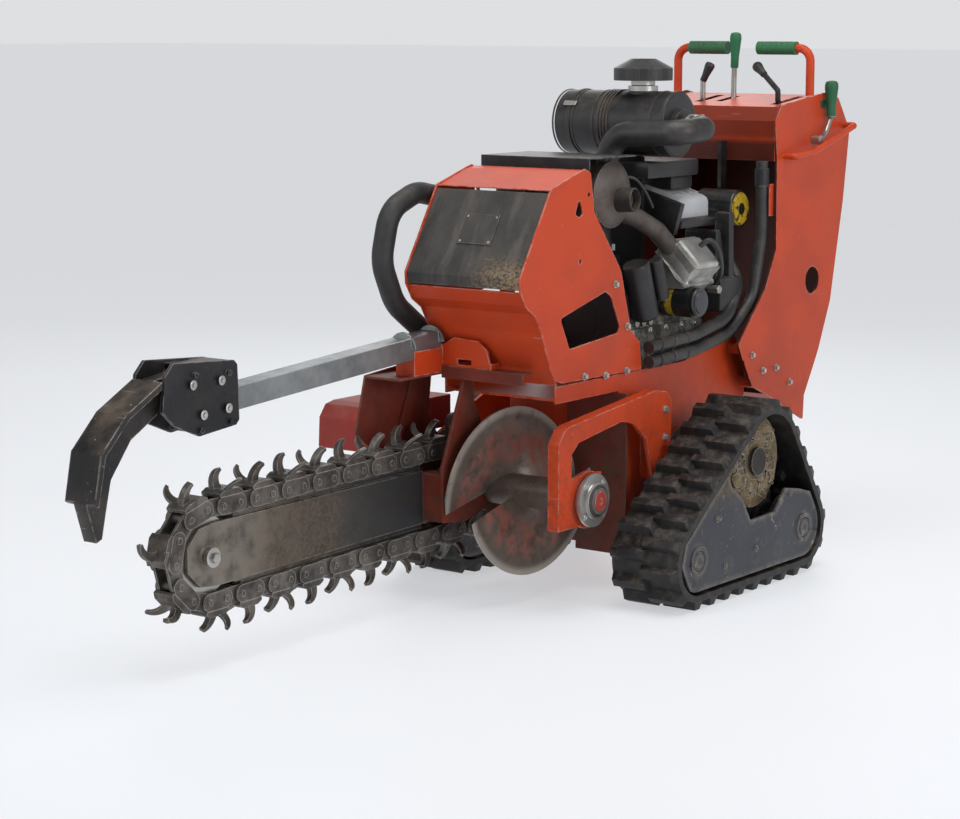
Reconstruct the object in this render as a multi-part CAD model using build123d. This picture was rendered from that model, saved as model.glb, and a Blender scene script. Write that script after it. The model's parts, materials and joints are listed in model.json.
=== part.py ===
"""Walk-behind track trencher, built as separate parts in millimetres.

Working frame: X across the machine, -Y towards the digging boom, +Y towards the operator, +Z up,
ground at Z = 0.  Before export everything moves so that the origin is the centre of the bounding
box's bottom face.  Points written as pairs are (y, z) in a side view.
"""
from build123d import *
import math
import os

# ---------------------------------------------------------------- driving dimensions
GAP = 0.3                 # clearance between parts that move past each other
SEAT = 0.05               # radial clearance of a shaft or pin in its own hole

# tracks
TRACK_OUTER_X = 415.0     # outer face of each belt
BELT_WIDTH = 180.0
BELT_THICK = 15.0
LUG_HEIGHT = 20.0
LUG_COUNT = 27
IDLER_INNER_R = 80.0      # belt's inner radius round an idler
IDLER_AXLE_Z = IDLER_INNER_R + BELT_THICK + LUG_HEIGHT
FRONT_IDLER = (34.0, IDLER_AXLE_Z)
REAR_IDLER = (521.0, IDLER_AXLE_Z)
TRACK_SPROCKET = (355.0, 298.0)
SPROCKET_TEETH = 12
TRACK_PLATE = 8.0
PLATE_GAP = 7.0           # from the belt's inside to the edge of a track frame plate
IDLER_AXLE_R = 18.0

# headshaft, boom and digging chain
HEADSHAFT = (-130.0, 262.0)
HEADSHAFT_R = 30.0
BOOM_X = -140.0           # centre plane of boom and chain
BOOM_DROP = 1.0           # degrees the boom points below level at rest
CHAIN_PITCH = 50.8
DIG_TEETH = 12
STRAND_PITCHES = 18       # pitches from headshaft to nose on each strand
CHAIN_R = CHAIN_PITCH / 2 / math.sin(math.pi / DIG_TEETH)
BAR_LENGTH = CHAIN_PITCH * STRAND_PITCHES
SIDE_BAR_HEIGHT = 38.0
SIDE_BAR_THICK = 6.0
LINK_INNER_WIDTH = 30.0   # clear width between the inner side bars
CHAIN_PIN_R = 7.0
CHAIN_BUSH_R = 12.0
SPROCKET_CLEAR = 0.6       # from a still chain or belt to its driving wheel
SPROCKET_NOTCH = 4.0      # how far the wheel's notches lie inside the pitch circle
CUTTER_HALF_WIDTH = 62.0
CUTTER_HEIGHT = 48.0
BAR_HALF_HEIGHT = 62.0
RAIL_STRIP = 12.0

# auger
AUGER_R = 195.0
AUGER_TUBE_R = 38.0
AUGER_START_X = -48.0

# body panels
SHEET = 6.0               # plate thickness of frame and hood
HOOD_X = 158.0            # outer face of the hood's side plates and of the rails
CONSOLE_X = 210.0         # outer face of the console's side plates
BRACKET_X = 215.0         # outer face of the auger's outer bracket
BRACKET_THICK = 10.0
BOLT_R = 6.0
LEVER_R = 7.0
GRIP_R = 17.0
HANDLE_R = 11.0

# boom frame round the headshaft
FRAME_PLATE = 8.0
FRAME_LEFT_X = BOOM_X - CUTTER_HALF_WIDTH - 15.0   # outer face of the frame's left plate
FRAME_RIGHT_X = BOOM_X + CUTTER_HALF_WIDTH + 20.0  # outer face of the frame's right plate

# trench cleaner
CLEANER_X = BOOM_X - 5
CLEANER_BAR = 50.0

# outlines, places and sizes of the pieces
BELT_IN_X = TRACK_OUTER_X - BELT_WIDTH
BELT_MID_X = TRACK_OUTER_X - BELT_WIDTH / 2
DRIVE_LUG = (44.0, 20.0)      # width and length of an inner drive lug
DRIVE_LUG_REACH = 18.0        # how far a drive lug stands inwards of the belt
DRIVE_LUG_SINK = 2.0
DRIVE_PHASE = 0.25
SPROCKET_ROD_R = 9.0
MOTOR_SHAFT_R = 20.0
MOTOR_R = 62.0
HOOD_OUTLINE = [(-207, 970), (-93, 1004), (-73, 1009), (-50, 1000), (-35, 910), (79, 765), (122, 622),
                (160, 590),
                (170, 524), (-160, 528), (-188, 537), (-206, 563), (-241, 648), (-266, 690), (-300, 712),
                (-324, 750), (-326, 778)]
HOOD_WINDOW = [(-168, 676), (14, 722), (38, 709), (76, 634), (66, 621), (-132, 603)]
CONSOLE_OUTLINE = [(697, 1094), (727, 1131), (946, 1157), (1021, 1142), (1069, 1078), (1086, 1069), (1057,
    875),
                   (999, 617), (940, 491), (870, 381), (866, 318), (705, 394), (604, 436), (553, 515),
    (535, 547),
                   (660, 673), (712, 770), (709, 995)]
FLOOR_Z = 494.0
TIE_DOWN = (900.0, 678.0)
TIE_DOWN_R = 35.0
FRONT_WALL_Y = 80.0
BEAM_YZ = ((180.0, 150.0), (470.0, 150.0))
RAIL_BOLTS = [(-73, 512), (14, 505), (102, 506), (190, 506)]
SPACER_Y = (172.0, 214.0)
SPACER_Z = (262.0, 462.0)
SIDE_LEVER_PIVOT = (889.0, 1039.0)
SIDE_PIN_R = 6.0
LEVER_PIVOT = (850.0, 1000.0)
LEVER_SHAFT_R = 9.0
COVER_SLOTS = {"left": (-76.0, 790.0, 910.0), "centre": (-21.0, 804.0, 899.0), "right": (160.0, 770.0,
    913.0)}
SLOT_HALF = 11.0
COVER_THICK = 4.0
CRANK_Z = 610.0
BLOCK_R = 105.0
ENGINE_Y = (190.0, 520.0)
HEAD_Y = (396.0, 322.0)       # centre of the right and of the left cylinder along the crank
MUFFLER = (80.0, 941.0)
MUFFLER_R = 76.0
AIR_CLEANER = (345.0, 1095.0)
AIR_CLEANER_R = 78.0
HOSE_R = 30.0
RAIL_HOSE_R = 15.5
OIL_FILTER = (362.0, 668.0)
OIL_FILTER_R = 38.0
FILTER = (648.0, 874.0)
FILTER_R = 48.0
FILTER_X = 92.0               # where the return hose meets the filter
HEAD_TILT = 45.0
HEAD_REACH = 176.0            # from the crank to the middle of a cylinder head
BEARING_R = 61.5
SUPPORT_IN = 223.0        # distance of the left support's inner face from the centre plane
BAR_START = 186.0         # distance of the boom bar's machine end from the headshaft
NOSE_AXLE_R = 14.0
NOSE_R = CHAIN_R - CHAIN_BUSH_R - 0.4
STRIP_TOP = CHAIN_R - CHAIN_BUSH_R - 0.4
SPAR_HALF = 55.0          # half height of the frame's cross spar
NOSE_PLATE_IN = 14.5
GUARD_TOP = 550.0
SHELF_THICK = 5.0
SHELF_FRONT = -240.0
SHELF_BACK = -208.0
HEADSHAFT_LEFT = -(SUPPORT_IN + 18)
HEADSHAFT_RIGHT = BRACKET_X + 32
CLEANER_BASE = (-242.0, 612.0)
CLEANER_TIP = (-962.0, 563.0)
HEAD_HALF = 44.0          # from the bar's centre plane to the outer face of a cheek plate
HEAD_PLATE = 8.0


# ---------------------------------------------------------------- shape helpers
def box(x0, x1, y0, y1, z0, z1):
    """Axis-aligned block between two corners."""
    return Pos((x0 + x1) / 2, (y0 + y1) / 2, (z0 + z1) / 2) * Box(abs(x1 - x0), abs(y1 - y0), abs(z1 - z0))


def rod_x(y, z, r, x0, x1):
    """Cylinder along X."""
    return Pos((x0 + x1) / 2, y, z) * Rot(0, 90, 0) * Cylinder(r, abs(x1 - x0))


def rod_y(x, z, r, y0, y1):
    """Cylinder along Y."""
    return Pos(x, (y0 + y1) / 2, z) * Rot(90, 0, 0) * Cylinder(r, abs(y1 - y0))


def rod_z(x, y, r, z0, z1):
    """Cylinder along Z."""
    return Pos(x, y, (z0 + z1) / 2) * Cylinder(r, abs(z1 - z0))


def ring_x(y, z, r_out, r_in, x0, x1):
    """Round tube along X."""
    return rod_x(y, z, r_out, x0, x1) - rod_x(y, z, r_in, x0 - 1, x1 + 1)


def side_face(points, x, radius=0.0):
    """Closed (y, z) outline as a face at x, its corners rounded if a radius is given."""
    wire = Wire.make_polygon([Vector(x, y, z) for y, z in points], close=True)
    face = Face(wire)
    if radius:
        face = face.fillet_2d(radius, face.vertices())
    return face


def side_plate(points, x0, x1, radius=0.0):
    """Plate with a (y, z) outline, from x0 to x1."""
    low, high = min(x0, x1), max(x0, x1)
    return extrude(side_face(points, low, radius), amount=high - low, dir=(1, 0, 0))


def front_plate(points, y0, y1, radius=0.0):
    """Plate with an (x, z) outline, from y0 to y1."""
    low, high = min(y0, y1), max(y0, y1)
    face = Face(Wire.make_polygon([Vector(x, low, z) for x, z in points], close=True))
    if radius:
        face = face.fillet_2d(radius, face.vertices())
    return extrude(face, amount=high - low, dir=(0, 1, 0))


def tube(points, radius, bends):
    """Round bar along straight runs joined by tangent arcs."""
    path = FilletPolyline(*[Vector(*p) for p in points], radius=bends)
    start = path.position_at(0)
    profile = Plane(origin=start, z_dir=path.tangent_at(0)) * Circle(radius)
    return sweep(profile, path=path)


def mirrored(shape):
    """Copy on the other side of the machine's centre plane."""
    return mirror(shape, about=Plane.YZ)


def solids_of(*shapes):
    """Several separate solids kept as one node."""
    found = []
    for shape in shapes:
        found += list(shape.solids())
    return Compound(found)


def hex_bolt_x(x, y, z, out, r=BOLT_R, washer=True):
    """Flanged bolt head standing on the face at x, pointing along +X if out is 1 and -X if -1."""
    head = Pos(x + out * (2 + r * 0.55), y, z) * Rot(0, 90, 0) * extrude(
        RegularPolygon(r * 1.05, 6), amount=r * 0.55, both=True)
    if not washer:
        return head
    return head + rod_x(y, z, r * 1.5, x, x + out * 2.2)


# ---------------------------------------------------------------- closed loop round circles
def tangent_loop(circles):
    """Lines and arcs of a tight loop round (y, z, r) circles listed anticlockwise, as segments.

    Each segment is ("line", start, end) or ("arc", centre, r, start angle, sweep angle).
    """
    count = len(circles)
    touch = []
    for i in range(count):
        (ya, za, ra), (yb, zb, rb) = circles[i], circles[(i + 1) % count]
        gap = math.hypot(yb - ya, zb - za)
        along = math.atan2(zb - za, yb - ya)
        normal = along - math.pi / 2 + math.asin((ra - rb) / gap)
        touch.append(normal)
    segments = []
    for i in range(count):
        ya, za, ra = circles[i]
        yb, zb, rb = circles[(i + 1) % count]
        n = touch[i]
        start = (ya + ra * math.cos(n), za + ra * math.sin(n))
        end = (yb + rb * math.cos(n), zb + rb * math.sin(n))
        segments.append(("line", start, end))
        turn = (touch[(i + 1) % count] - n) % (2 * math.pi)
        segments.append(("arc", (yb, zb), rb, n, turn))
    return segments


def loop_length(segments):
    """Length of a loop of such segments."""
    return sum(math.dist(s[1], s[2]) if s[0] == "line" else s[2] * s[4] for s in segments)


def loop_at(segments, distance):
    """Point on the loop and its outward normal angle at a distance from the loop's start."""
    distance %= loop_length(segments)
    for s in segments:
        size = math.dist(s[1], s[2]) if s[0] == "line" else s[2] * s[4]
        if distance <= size:
            if s[0] == "line":
                (y0, z0), (y1, z1) = s[1], s[2]
                t = distance / size
                return (y0 + (y1 - y0) * t, z0 + (z1 - z0) * t), math.atan2(z1 - z0, y1 - y0) - math.pi / 2
            angle = s[3] + distance / s[2]
            return (s[1][0] + s[2] * math.cos(angle), s[1][1] + s[2] * math.sin(angle)), angle
        distance -= size
    raise ValueError("distance is past the end of the loop")


def loop_face(segments, x):
    """Face bounded by the loop, at x."""
    edges = []
    for s in segments:
        if s[0] == "line":
            edges.append(Line(Vector(x, *s[1]), Vector(x, *s[2])))
            continue
        (y, z), r, a, turn = s[1:]
        ends = [Vector(x, y + r * math.cos(a + turn * k), z + r * math.sin(a + turn * k)) for k in (0,
            0.5, 1)]
        edges.append(ThreePointArc(*ends))
    return Face(Wire(edges))


# ---------------------------------------------------------------- tracks, made for the +X side


def sprocket_belt_radius():
    """Belt's inner radius on the sprocket for which the drive lugs come exactly one tooth apart."""
    radius = 115.0
    for _ in range(40):
        circles = [(*FRONT_IDLER, IDLER_INNER_R), (*REAR_IDLER, IDLER_INNER_R), (*TRACK_SPROCKET, radius)]
        radius = loop_length(tangent_loop(circles)) / LUG_COUNT * SPROCKET_TEETH / (2 * math.pi)
    return radius


SPROCKET_INNER_R = sprocket_belt_radius()


def belt_circles(grow):
    """The three wheels that the belt runs round, grown by the given distance."""
    return [(*FRONT_IDLER, IDLER_INNER_R + grow), (*REAR_IDLER, IDLER_INNER_R + grow),
            (*TRACK_SPROCKET, SPROCKET_INNER_R + grow)]


def placed(shape, point, normal, x):
    """Moves a shape modelled with +Z outwards and +Y along the belt to a point of a loop."""
    return Pos(x, *point) * Rot(math.degrees(normal) - 90, 0, 0) * shape


def track_belt():
    """Moulded rubber belt: smooth band, staggered outer lugs and inner drive lugs."""
    outer = tangent_loop(belt_circles(BELT_THICK))
    inner = tangent_loop(belt_circles(0))
    band = extrude(loop_face(outer, BELT_IN_X), amount=BELT_WIDTH, dir=(1, 0, 0))
    band -= extrude(loop_face(inner, BELT_IN_X - 1), amount=BELT_WIDTH + 2, dir=(1, 0, 0))
    length = loop_length(outer)
    pitch = length / LUG_COUNT
    half = BELT_WIDTH * 0.55
    root, crest, sink = pitch * 0.52, pitch * 0.34, 4.0
    lug = Pos(0, 0, -sink) * extrude(Rectangle(half, root), amount=LUG_HEIGHT + sink,
                                     taper=math.degrees(math.atan((root - crest) / 2 / LUG_HEIGHT)))
    lugs = []
    for i in range(LUG_COUNT):
        for side, lag in ((1, 0.0), (-1, 0.42)):
            point, normal = loop_at(outer, (i + lag) * pitch)
            lugs.append(placed(lug, point, normal, BELT_MID_X + side * (BELT_WIDTH - half) / 2))
    height = DRIVE_LUG_REACH + DRIVE_LUG_SINK
    drive = Pos(0, 0, DRIVE_LUG_SINK - height / 2) * Box(*DRIVE_LUG, height)
    for i in range(LUG_COUNT):
        point, normal = loop_at(inner, (i + DRIVE_PHASE) * loop_length(inner) / LUG_COUNT)
        lugs.append(placed(drive, point, normal, BELT_MID_X))
    return band.fuse(*lugs)


SPROCKET_ROD_PCR = SPROCKET_INNER_R - DRIVE_LUG_REACH - SPROCKET_CLEAR - SPROCKET_ROD_R
SPROCKET_DISC_R = SPROCKET_INNER_R - 5.6


def drive_phase_angle():
    """Angle of a drive lug next to the top of the sprocket, so that rods sit between the lugs."""
    inner = tangent_loop(belt_circles(0))
    best = None
    for i in range(LUG_COUNT):
        point, normal = loop_at(inner, (i + DRIVE_PHASE) * loop_length(inner) / LUG_COUNT)
        if math.dist(point, TRACK_SPROCKET) < SPROCKET_INNER_R + 1:
            off = abs((normal - math.pi / 2 + math.pi) % (2 * math.pi) - math.pi)
            if best is None or off < best[0]:
                best = (off, normal)
    return best[1]


def track_sprocket():
    """Cage sprocket: hub, two toothed discs and the rods that push the belt's drive lugs."""
    y, z = TRACK_SPROCKET
    half = DRIVE_LUG[0] / 2 + 6
    wheel = rod_x(y, z, 46, BELT_MID_X - half - 14, BELT_MID_X + half + 14)
    for side in (1, -1):
        x0 = BELT_MID_X + side * half
        disc = rod_x(y, z, SPROCKET_DISC_R, x0, x0 + side * 10)
        for k in range(6):
            a = math.radians(60 * k + 30)
            disc -= rod_x(y + 68 * math.cos(a), z + 68 * math.sin(a), 19, x0 - side, x0 + side * 11)
        wheel += disc
    step = 2 * math.pi / SPROCKET_TEETH
    for k in range(SPROCKET_TEETH):
        a = drive_phase_angle() + step * (k + 0.5)
        wheel += rod_x(y + SPROCKET_ROD_PCR * math.cos(a), z + SPROCKET_ROD_PCR * math.sin(a),
                       SPROCKET_ROD_R,
                       BELT_MID_X - half - 10, BELT_MID_X + half + 10)
    return wheel - rod_x(y, z, MOTOR_SHAFT_R + SEAT, BELT_MID_X - 60, BELT_MID_X + 60)


def idler(centre):
    """Idler wheel: two rims with a slot between them that the belt's drive lugs pass through."""
    y, z = centre
    rim_r = IDLER_INNER_R - 0.5
    half = DRIVE_LUG[0] / 2 + 5
    wheel = rod_x(y, z, 50, BELT_MID_X - half - 24, BELT_MID_X + half + 24)
    for side in (1, -1):
        x0 = BELT_MID_X + side * half
        rim = rod_x(y, z, rim_r, x0, x0 + side * 24)
        rim -= ring_x(y, z, rim_r - 12, 34, x0 + side * 14, x0 + side * 25)
        wheel += rim
    return wheel - rod_x(y, z, IDLER_AXLE_R + SEAT, BELT_MID_X - 80, BELT_MID_X + 80)


def track_frame():
    """Outer and inner plates with the idlers' axles, hubs and the stiffening bars between them."""
    outline = [(-36, 112), (-20, 163), (30, 200), (155, 312), (178, 268), (228, 232), (268, 172), (386, 176),
               (430, 226), (500, 214), (562, 197), (600, 158), (608, 112), (572, 44), (548, 34), (40, 34),
               (2, 46)]
    outer_x = TRACK_OUTER_X - 5
    inner_x = BELT_IN_X + 4
    plate = side_plate(outline, outer_x - TRACK_PLATE, outer_x, 8)
    inner = extrude(loop_face(tangent_loop(belt_circles(-PLATE_GAP)), inner_x), amount=TRACK_PLATE,
                    dir=(1, 0, 0))
    inner -= rod_x(*TRACK_SPROCKET, MOTOR_R + SEAT, inner_x - 1, inner_x + TRACK_PLATE + 1)
    inside = extrude(loop_face(tangent_loop(belt_circles(-PLATE_GAP)), inner_x - 1), amount=BELT_WIDTH,
                     dir=(1, 0, 0))
    frame = (plate + inner) & inside
    for centre in (FRONT_IDLER, REAR_IDLER):
        frame += rod_x(*centre, IDLER_AXLE_R, inner_x, outer_x)
        frame += ring_x(*centre, 34, 27, outer_x, outer_x + 4)
        frame += rod_x(*centre, 22, outer_x, outer_x + 4)
        for side, edge in ((1, outer_x - TRACK_PLATE), (-1, inner_x + TRACK_PLATE)):
            frame += rod_x(*centre, 30, edge, BELT_MID_X + side * (DRIVE_LUG[0] / 2 + 5 + 24 + 1))
    for y in (170, 290, 400):
        frame += rod_x(y, 82, 16, inner_x, outer_x)
    return frame


def drive_motor():
    """Hydraulic wheel motor with its shaft, bolted to the rail and to the track frame's inner side."""
    y, z = TRACK_SPROCKET
    shaft = rod_x(y, z, MOTOR_SHAFT_R, HOOD_X + 40, BELT_MID_X + 52)
    body = rod_x(y, z, MOTOR_R, HOOD_X, BELT_IN_X + 20)
    flange = box(BELT_IN_X - 8, BELT_IN_X + 4, y - 75, y + 75, z - 62, z + 62)
    cap = rod_x(y, z, 34, BELT_MID_X + 44.5, BELT_MID_X + 54)
    return shaft + body + flange + cap


def strip(points, thick, x0, x1):
    """Bent sheet: an open (y, z) line thickened to its left, from x0 to x1."""
    normals = []
    for (ya, za), (yb, zb) in zip(points, points[1:]):
        size = math.hypot(yb - ya, zb - za)
        normals.append((-(zb - za) / size, (yb - ya) / size))
    inner = []
    for i, (y, z) in enumerate(points):
        before = normals[max(i - 1, 0)]
        after = normals[min(i, len(normals) - 1)]
        lean = 1 + before[0] * after[0] + before[1] * after[1]
        inner.append((y + thick * (before[0] + after[0]) / lean, z + thick * (before[1] + after[1]) / lean))
    return side_plate(points + inner[::-1], x0, x1)


# ---------------------------------------------------------------- chassis


def main_frame():
    """Rails, engine floor, end walls and the cross beams that carry the tracks."""
    rail = [(FRONT_WALL_Y, 150), (600, 150), (640, 180), (657, 479), (621, 521), (605, 558), (439, 553),
            (372, 522), (-180, 522), (-180, 482), (FRONT_WALL_Y, 482)]
    right = side_plate(rail, HOOD_X - SHEET, HOOD_X)
    frame = right + mirrored(right)
    inner = HOOD_X - SHEET
    frame += box(-inner, inner, -180, 640, FLOOR_Z - 6, FLOOR_Z)
    frame += box(-inner, inner, FRONT_WALL_Y, FRONT_WALL_Y + 8, 150, FLOOR_Z)
    frame += box(-inner, inner, 620, 628, 180, FLOOR_Z)
    frame += box(-inner, inner, FRONT_WALL_Y, 600, 150, 156)
    for y, z in BEAM_YZ:
        frame += box(-(BELT_IN_X + 4), BELT_IN_X + 4, y - 28, y + 28, z - 28, z + 28)
    for side in (1, -1):
        frame += box(side * HOOD_X, side * (BRACKET_X - BRACKET_THICK), *SPACER_Y, *SPACER_Z)
        for y, z in ((590, 530), (640, 440)):
            frame += rod_x(y, z, 14, side * (HOOD_X - 6), side * (CONSOLE_X - SHEET))
    return frame


def hood_side():
    """Right side plate of the hood, with its window and tie hole."""
    plate = side_plate(HOOD_OUTLINE, HOOD_X, HOOD_X + 4, 6)
    plate -= side_plate(HOOD_WINDOW, HOOD_X - 1, HOOD_X + 5, 7)
    plate -= side_plate([(-95, 945), (-112, 908), (-94, 900), (-80, 908)], HOOD_X - 1, HOOD_X + 5, 5)
    plate -= rod_x(-57, 950, 5, HOOD_X - 1, HOOD_X + 5)
    plate -= rod_x(-92, 800, 6, HOOD_X - 1, HOOD_X + 5)
    return plate


def hood_top():
    """Top sheet of the hood, its front edge bent down and its rear edge turned under."""
    return strip([(-55, 985), (-68, 1003), (-93, 999), (-204, 965)], -SHEET / 2, -HOOD_X, HOOD_X)


def hood_front_panel():
    """Front sheet that slopes out to the knee."""
    return strip([(-206, 961), (-322, 776), (-320, 752)], SHEET / 2, -HOOD_X, HOOD_X)


def hood_lower_panel():
    """Sheet under the knee that slopes back to the frame."""
    return strip([(-317, 747), (-296, 716), (-262, 694), (-237, 647), (-202, 563), (-185, 539), (-178, 524)],
                 SHEET / 2, -HOOD_X, HOOD_X)


def badge_plate():
    """Blank rectangular plate on the front sheet."""
    (ya, za), (yb, zb) = (-206, 961), (-322, 776)
    size = math.hypot(yb - ya, zb - za)
    u = ((yb - ya) / size, (zb - za) / size)
    n = (u[1], -u[0])
    a, b = 62.0, 138.0
    corners = []
    for along, out in ((a, 0.0), (b, 0.0), (b, 3.0), (a, 3.0)):
        corners.append((ya + u[0] * along + n[0] * out, za + u[1] * along + n[1] * out))
    return side_plate(corners, -48, 48)


def console_sides():
    """The operator console's two side plates, each with a round tie-down hole."""
    plate = side_plate(CONSOLE_OUTLINE, CONSOLE_X - SHEET, CONSOLE_X, 4)
    plate -= rod_x(*TIE_DOWN, TIE_DOWN_R, CONSOLE_X - SHEET - 1, CONSOLE_X + 1)
    plate -= rod_x(*SIDE_LEVER_PIVOT, SIDE_PIN_R + SEAT, CONSOLE_X - SHEET - 1, CONSOLE_X + 1)
    plate -= rod_x(560, 500, 5, CONSOLE_X - SHEET - 1, CONSOLE_X + 1)
    return solids_of(plate, mirrored(plate))


def console_cover():
    """Folded console sheet, open towards the engine, with the lever slots and the lever shaft."""
    inner = CONSOLE_X - SHEET
    outline = [(705, 1092), (731, 1126), (946, 1151), (1017, 1137), (1063, 1076), (1050, 876), (992, 620),
               (934, 496),
               (864, 386), (862, 330), (705, 402)]
    face = side_face(outline, -inner)
    cover = extrude(face, amount=2 * inner, dir=(1, 0, 0))
    cover -= extrude(offset(face, -COVER_THICK), amount=2 * inner, dir=(1, 0, 0))
    cover -= box(-inner - 1, inner + 1, 600, 712, 430, 992)
    for x, y0, y1 in COVER_SLOTS.values():
        cover -= box(x - SLOT_HALF, x + SLOT_HALF, y0, y1, 1090, 1200)
    for x in (-170.0, 100.0):
        cover += box(x - 3, x + 3, LEVER_PIVOT[0] - 18, LEVER_PIVOT[0] + 18, LEVER_PIVOT[1] - 18, 1137)
    cover += rod_x(*LEVER_PIVOT, LEVER_SHAFT_R, -inner, inner)
    return cover.solids().sort_by(SortBy.VOLUME)[-1]


def handle_bars():
    """Two cranked handle posts and the guard tube on each side of the console."""
    bar = tube([(198, 890, 1150), (198, 890, 1270), (50, 890, 1270)], HANDLE_R, 34)
    out = CONSOLE_X + 34
    guard = tube([(CONSOLE_X, 745, 1003), (out, 745, 1003), (out, 838, 1011), (out, 1050, 1071),
                  (CONSOLE_X, 1050, 1071)], 8, 9)
    cut = console_sides() + console_cover()
    return solids_of(bar - cut, mirrored(bar) - cut, guard, mirrored(guard))


def handle_grips():
    """Ribbed rubber grips on the handle bars."""
    grip = ring_x(890, 1270, GRIP_R, HANDLE_R, 50, 158)
    for i in range(9):
        grip -= ring_x(890, 1270, GRIP_R + 1, GRIP_R - 1.2, 60 + i * 10, 63 + i * 10)
    end = rod_x(890, 1270, GRIP_R, 46, 50)
    grip += end
    return solids_of(grip, mirrored(grip))


def lever(name, knob_r, knob_size, top):
    """Control lever on the console's shaft; top is its knob's upper end."""
    x = COVER_SLOTS[name][0]
    y, z = LEVER_PIVOT
    at_cover = {"left": 817.0, "centre": 880.0, "right": 794.0}[name]
    leg_top = (x, at_cover, 1185 if name != "right" else 1165)
    hub = rod_x(y, z, 17, x - 9, x + 9)
    rod = tube([(x, y, z), (x, at_cover, 1142), leg_top, top], LEVER_R, 8)
    axis = Vector(*top) - Vector(*leg_top)
    unit = axis.normalized()
    knob_plane = Plane(origin=Vector(*top) - unit * knob_size, z_dir=unit)
    knob = extrude(knob_plane * Circle(knob_r * 0.72), amount=knob_size * 0.55, taper=-6)
    knob += extrude(Plane(origin=Vector(*top) - unit * knob_size * 0.45, z_dir=unit) * Circle(knob_r),
                    amount=knob_size * 0.45)
    shape = hub + rod + knob
    return shape - rod_x(y, z, LEVER_SHAFT_R + SEAT, x - 20, x + 20)


def side_lever():
    """Cranked lever outside the right side plate, on its own pin."""
    y, z = SIDE_LEVER_PIVOT
    x = CONSOLE_X + 18
    shape = rod_x(y, z, 12, CONSOLE_X + 0.5, x + 6) + rod_x(y, z, SIDE_PIN_R, CONSOLE_X - 12, CONSOLE_X + 2)
    shape += tube([(x, y + 4, z), (x, 925, 1058), (x, 950, 1096), (x, 950, 1125)], 6, [14, 14])
    return shape + rod_z(x, 950, 15, 1096, 1188)


# ---------------------------------------------------------------- engine and what serves it


def engine_block():
    """Crankcase with its sump, mounting feet, oil filter boss and carburettor."""
    block = rod_y(0, CRANK_Z, BLOCK_R, *ENGINE_Y)
    block += box(-112, 112, *ENGINE_Y, FLOOR_Z, CRANK_Z)
    block += box(-36, 36, 196, 262, 690, 782)
    block += box(-60, 60, 318, 332, 700, 1040)
    block -= rod_x(*AIR_CLEANER, AIR_CLEANER_R + 3.2, -100, 100)
    block += rod_x(*OIL_FILTER, 24, 40, 112)
    for x in (-112, 88):
        for y in (215, 270, 325, 380, 435, 490):
            block += box(x, x + 24 + (6 if x > 0 else 0), y - 3, y + 3, FLOOR_Z, 590)
    return block


def cylinder(side, y):
    """One cylinder of the V with its fins, head and valve cover."""
    up = Pos(0, y, CRANK_Z) * Rot(0, side * HEAD_TILT, 0)
    body = up * Pos(0, 0, 124) * Cylinder(44, 68)
    for i in range(7):
        body += up * Pos(0, 0, 104 + i * 7.5) * Box(104, 112, 3.5)
    body += up * Pos(0, 0, HEAD_REACH) * Box(112, 118, 46)
    cover = up * Pos(0, 0, HEAD_REACH + 45) * Box(104, 112, 44)
    cover = fillet(cover.edges().filter_by(lambda e: e.length < 60), 12)
    return body + cover


def cylinder_heads():
    """Both cylinders, seated on the crankcase, the right one recessed round the oil filter."""
    block = engine_block()
    pocket = rod_x(*OIL_FILTER, OIL_FILTER_R + 3, 100, 230)
    right = (cylinder(1, HEAD_Y[0]) - block - pocket).solids().sort_by(SortBy.VOLUME)[-1]
    return solids_of(right, cylinder(-1, HEAD_Y[1]) - block)


def blower_housing():
    """Fan shroud in front of the crankcase, with the black duct over the engine's rear."""
    housing = rod_y(0, CRANK_Z + 20, 118, 136, ENGINE_Y[0])
    housing -= rod_y(0, CRANK_Z + 20, 60, 130, 150)
    back = ENGINE_Y[1]
    duct = side_plate([(back, 640), (back + 42, 640), (back + 42, 760), (back + 20, 830), (back, 830)],
                      60, 150, 8)
    return solids_of(housing, duct)


def oil_filter():
    """Spin-on filter canister on the crankcase's boss."""
    body = rod_x(*OIL_FILTER, OIL_FILTER_R, 112, 192)
    body += rod_x(*OIL_FILTER, OIL_FILTER_R - 5, 192, 206)
    return body


def muffler():
    """Round silencer across the machine, its outlet stub and the pipe from the right cylinder."""
    y, z = MUFFLER
    can = rod_x(y, z, MUFFLER_R, -150, 132)
    can = fillet(can.edges(), 10)
    can += ring_x(y + 4, z - 12, 25, 20, 128, 172)
    can += rod_x(y, z, MUFFLER_R + 3, -70, -62)
    pipe_run = tube([(104, 120, 905), (118, 210, 878), (124, 290, 842), (122, HEAD_Y[0] - 30, 788)], 23, 60)
    return (can + pipe_run) - cylinder_heads()


def heat_shield():
    """Flat shield over the silencer on two saddle legs."""
    y, z = MUFFLER
    top = z + MUFFLER_R + 10
    plate = box(-158, 150, y - 118, y + 74, top, top + 3)
    plate += box(-158, 150, y - 118, y - 115, top - 24, top)
    for x in (-110, 96):
        plate += box(x - 10, x + 10, y - 24, y + 24, z, top)
    return plate - rod_x(y, z, MUFFLER_R, -200, 200) - rod_x(y, z, MUFFLER_R + 3.1, -71, -61)


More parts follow.
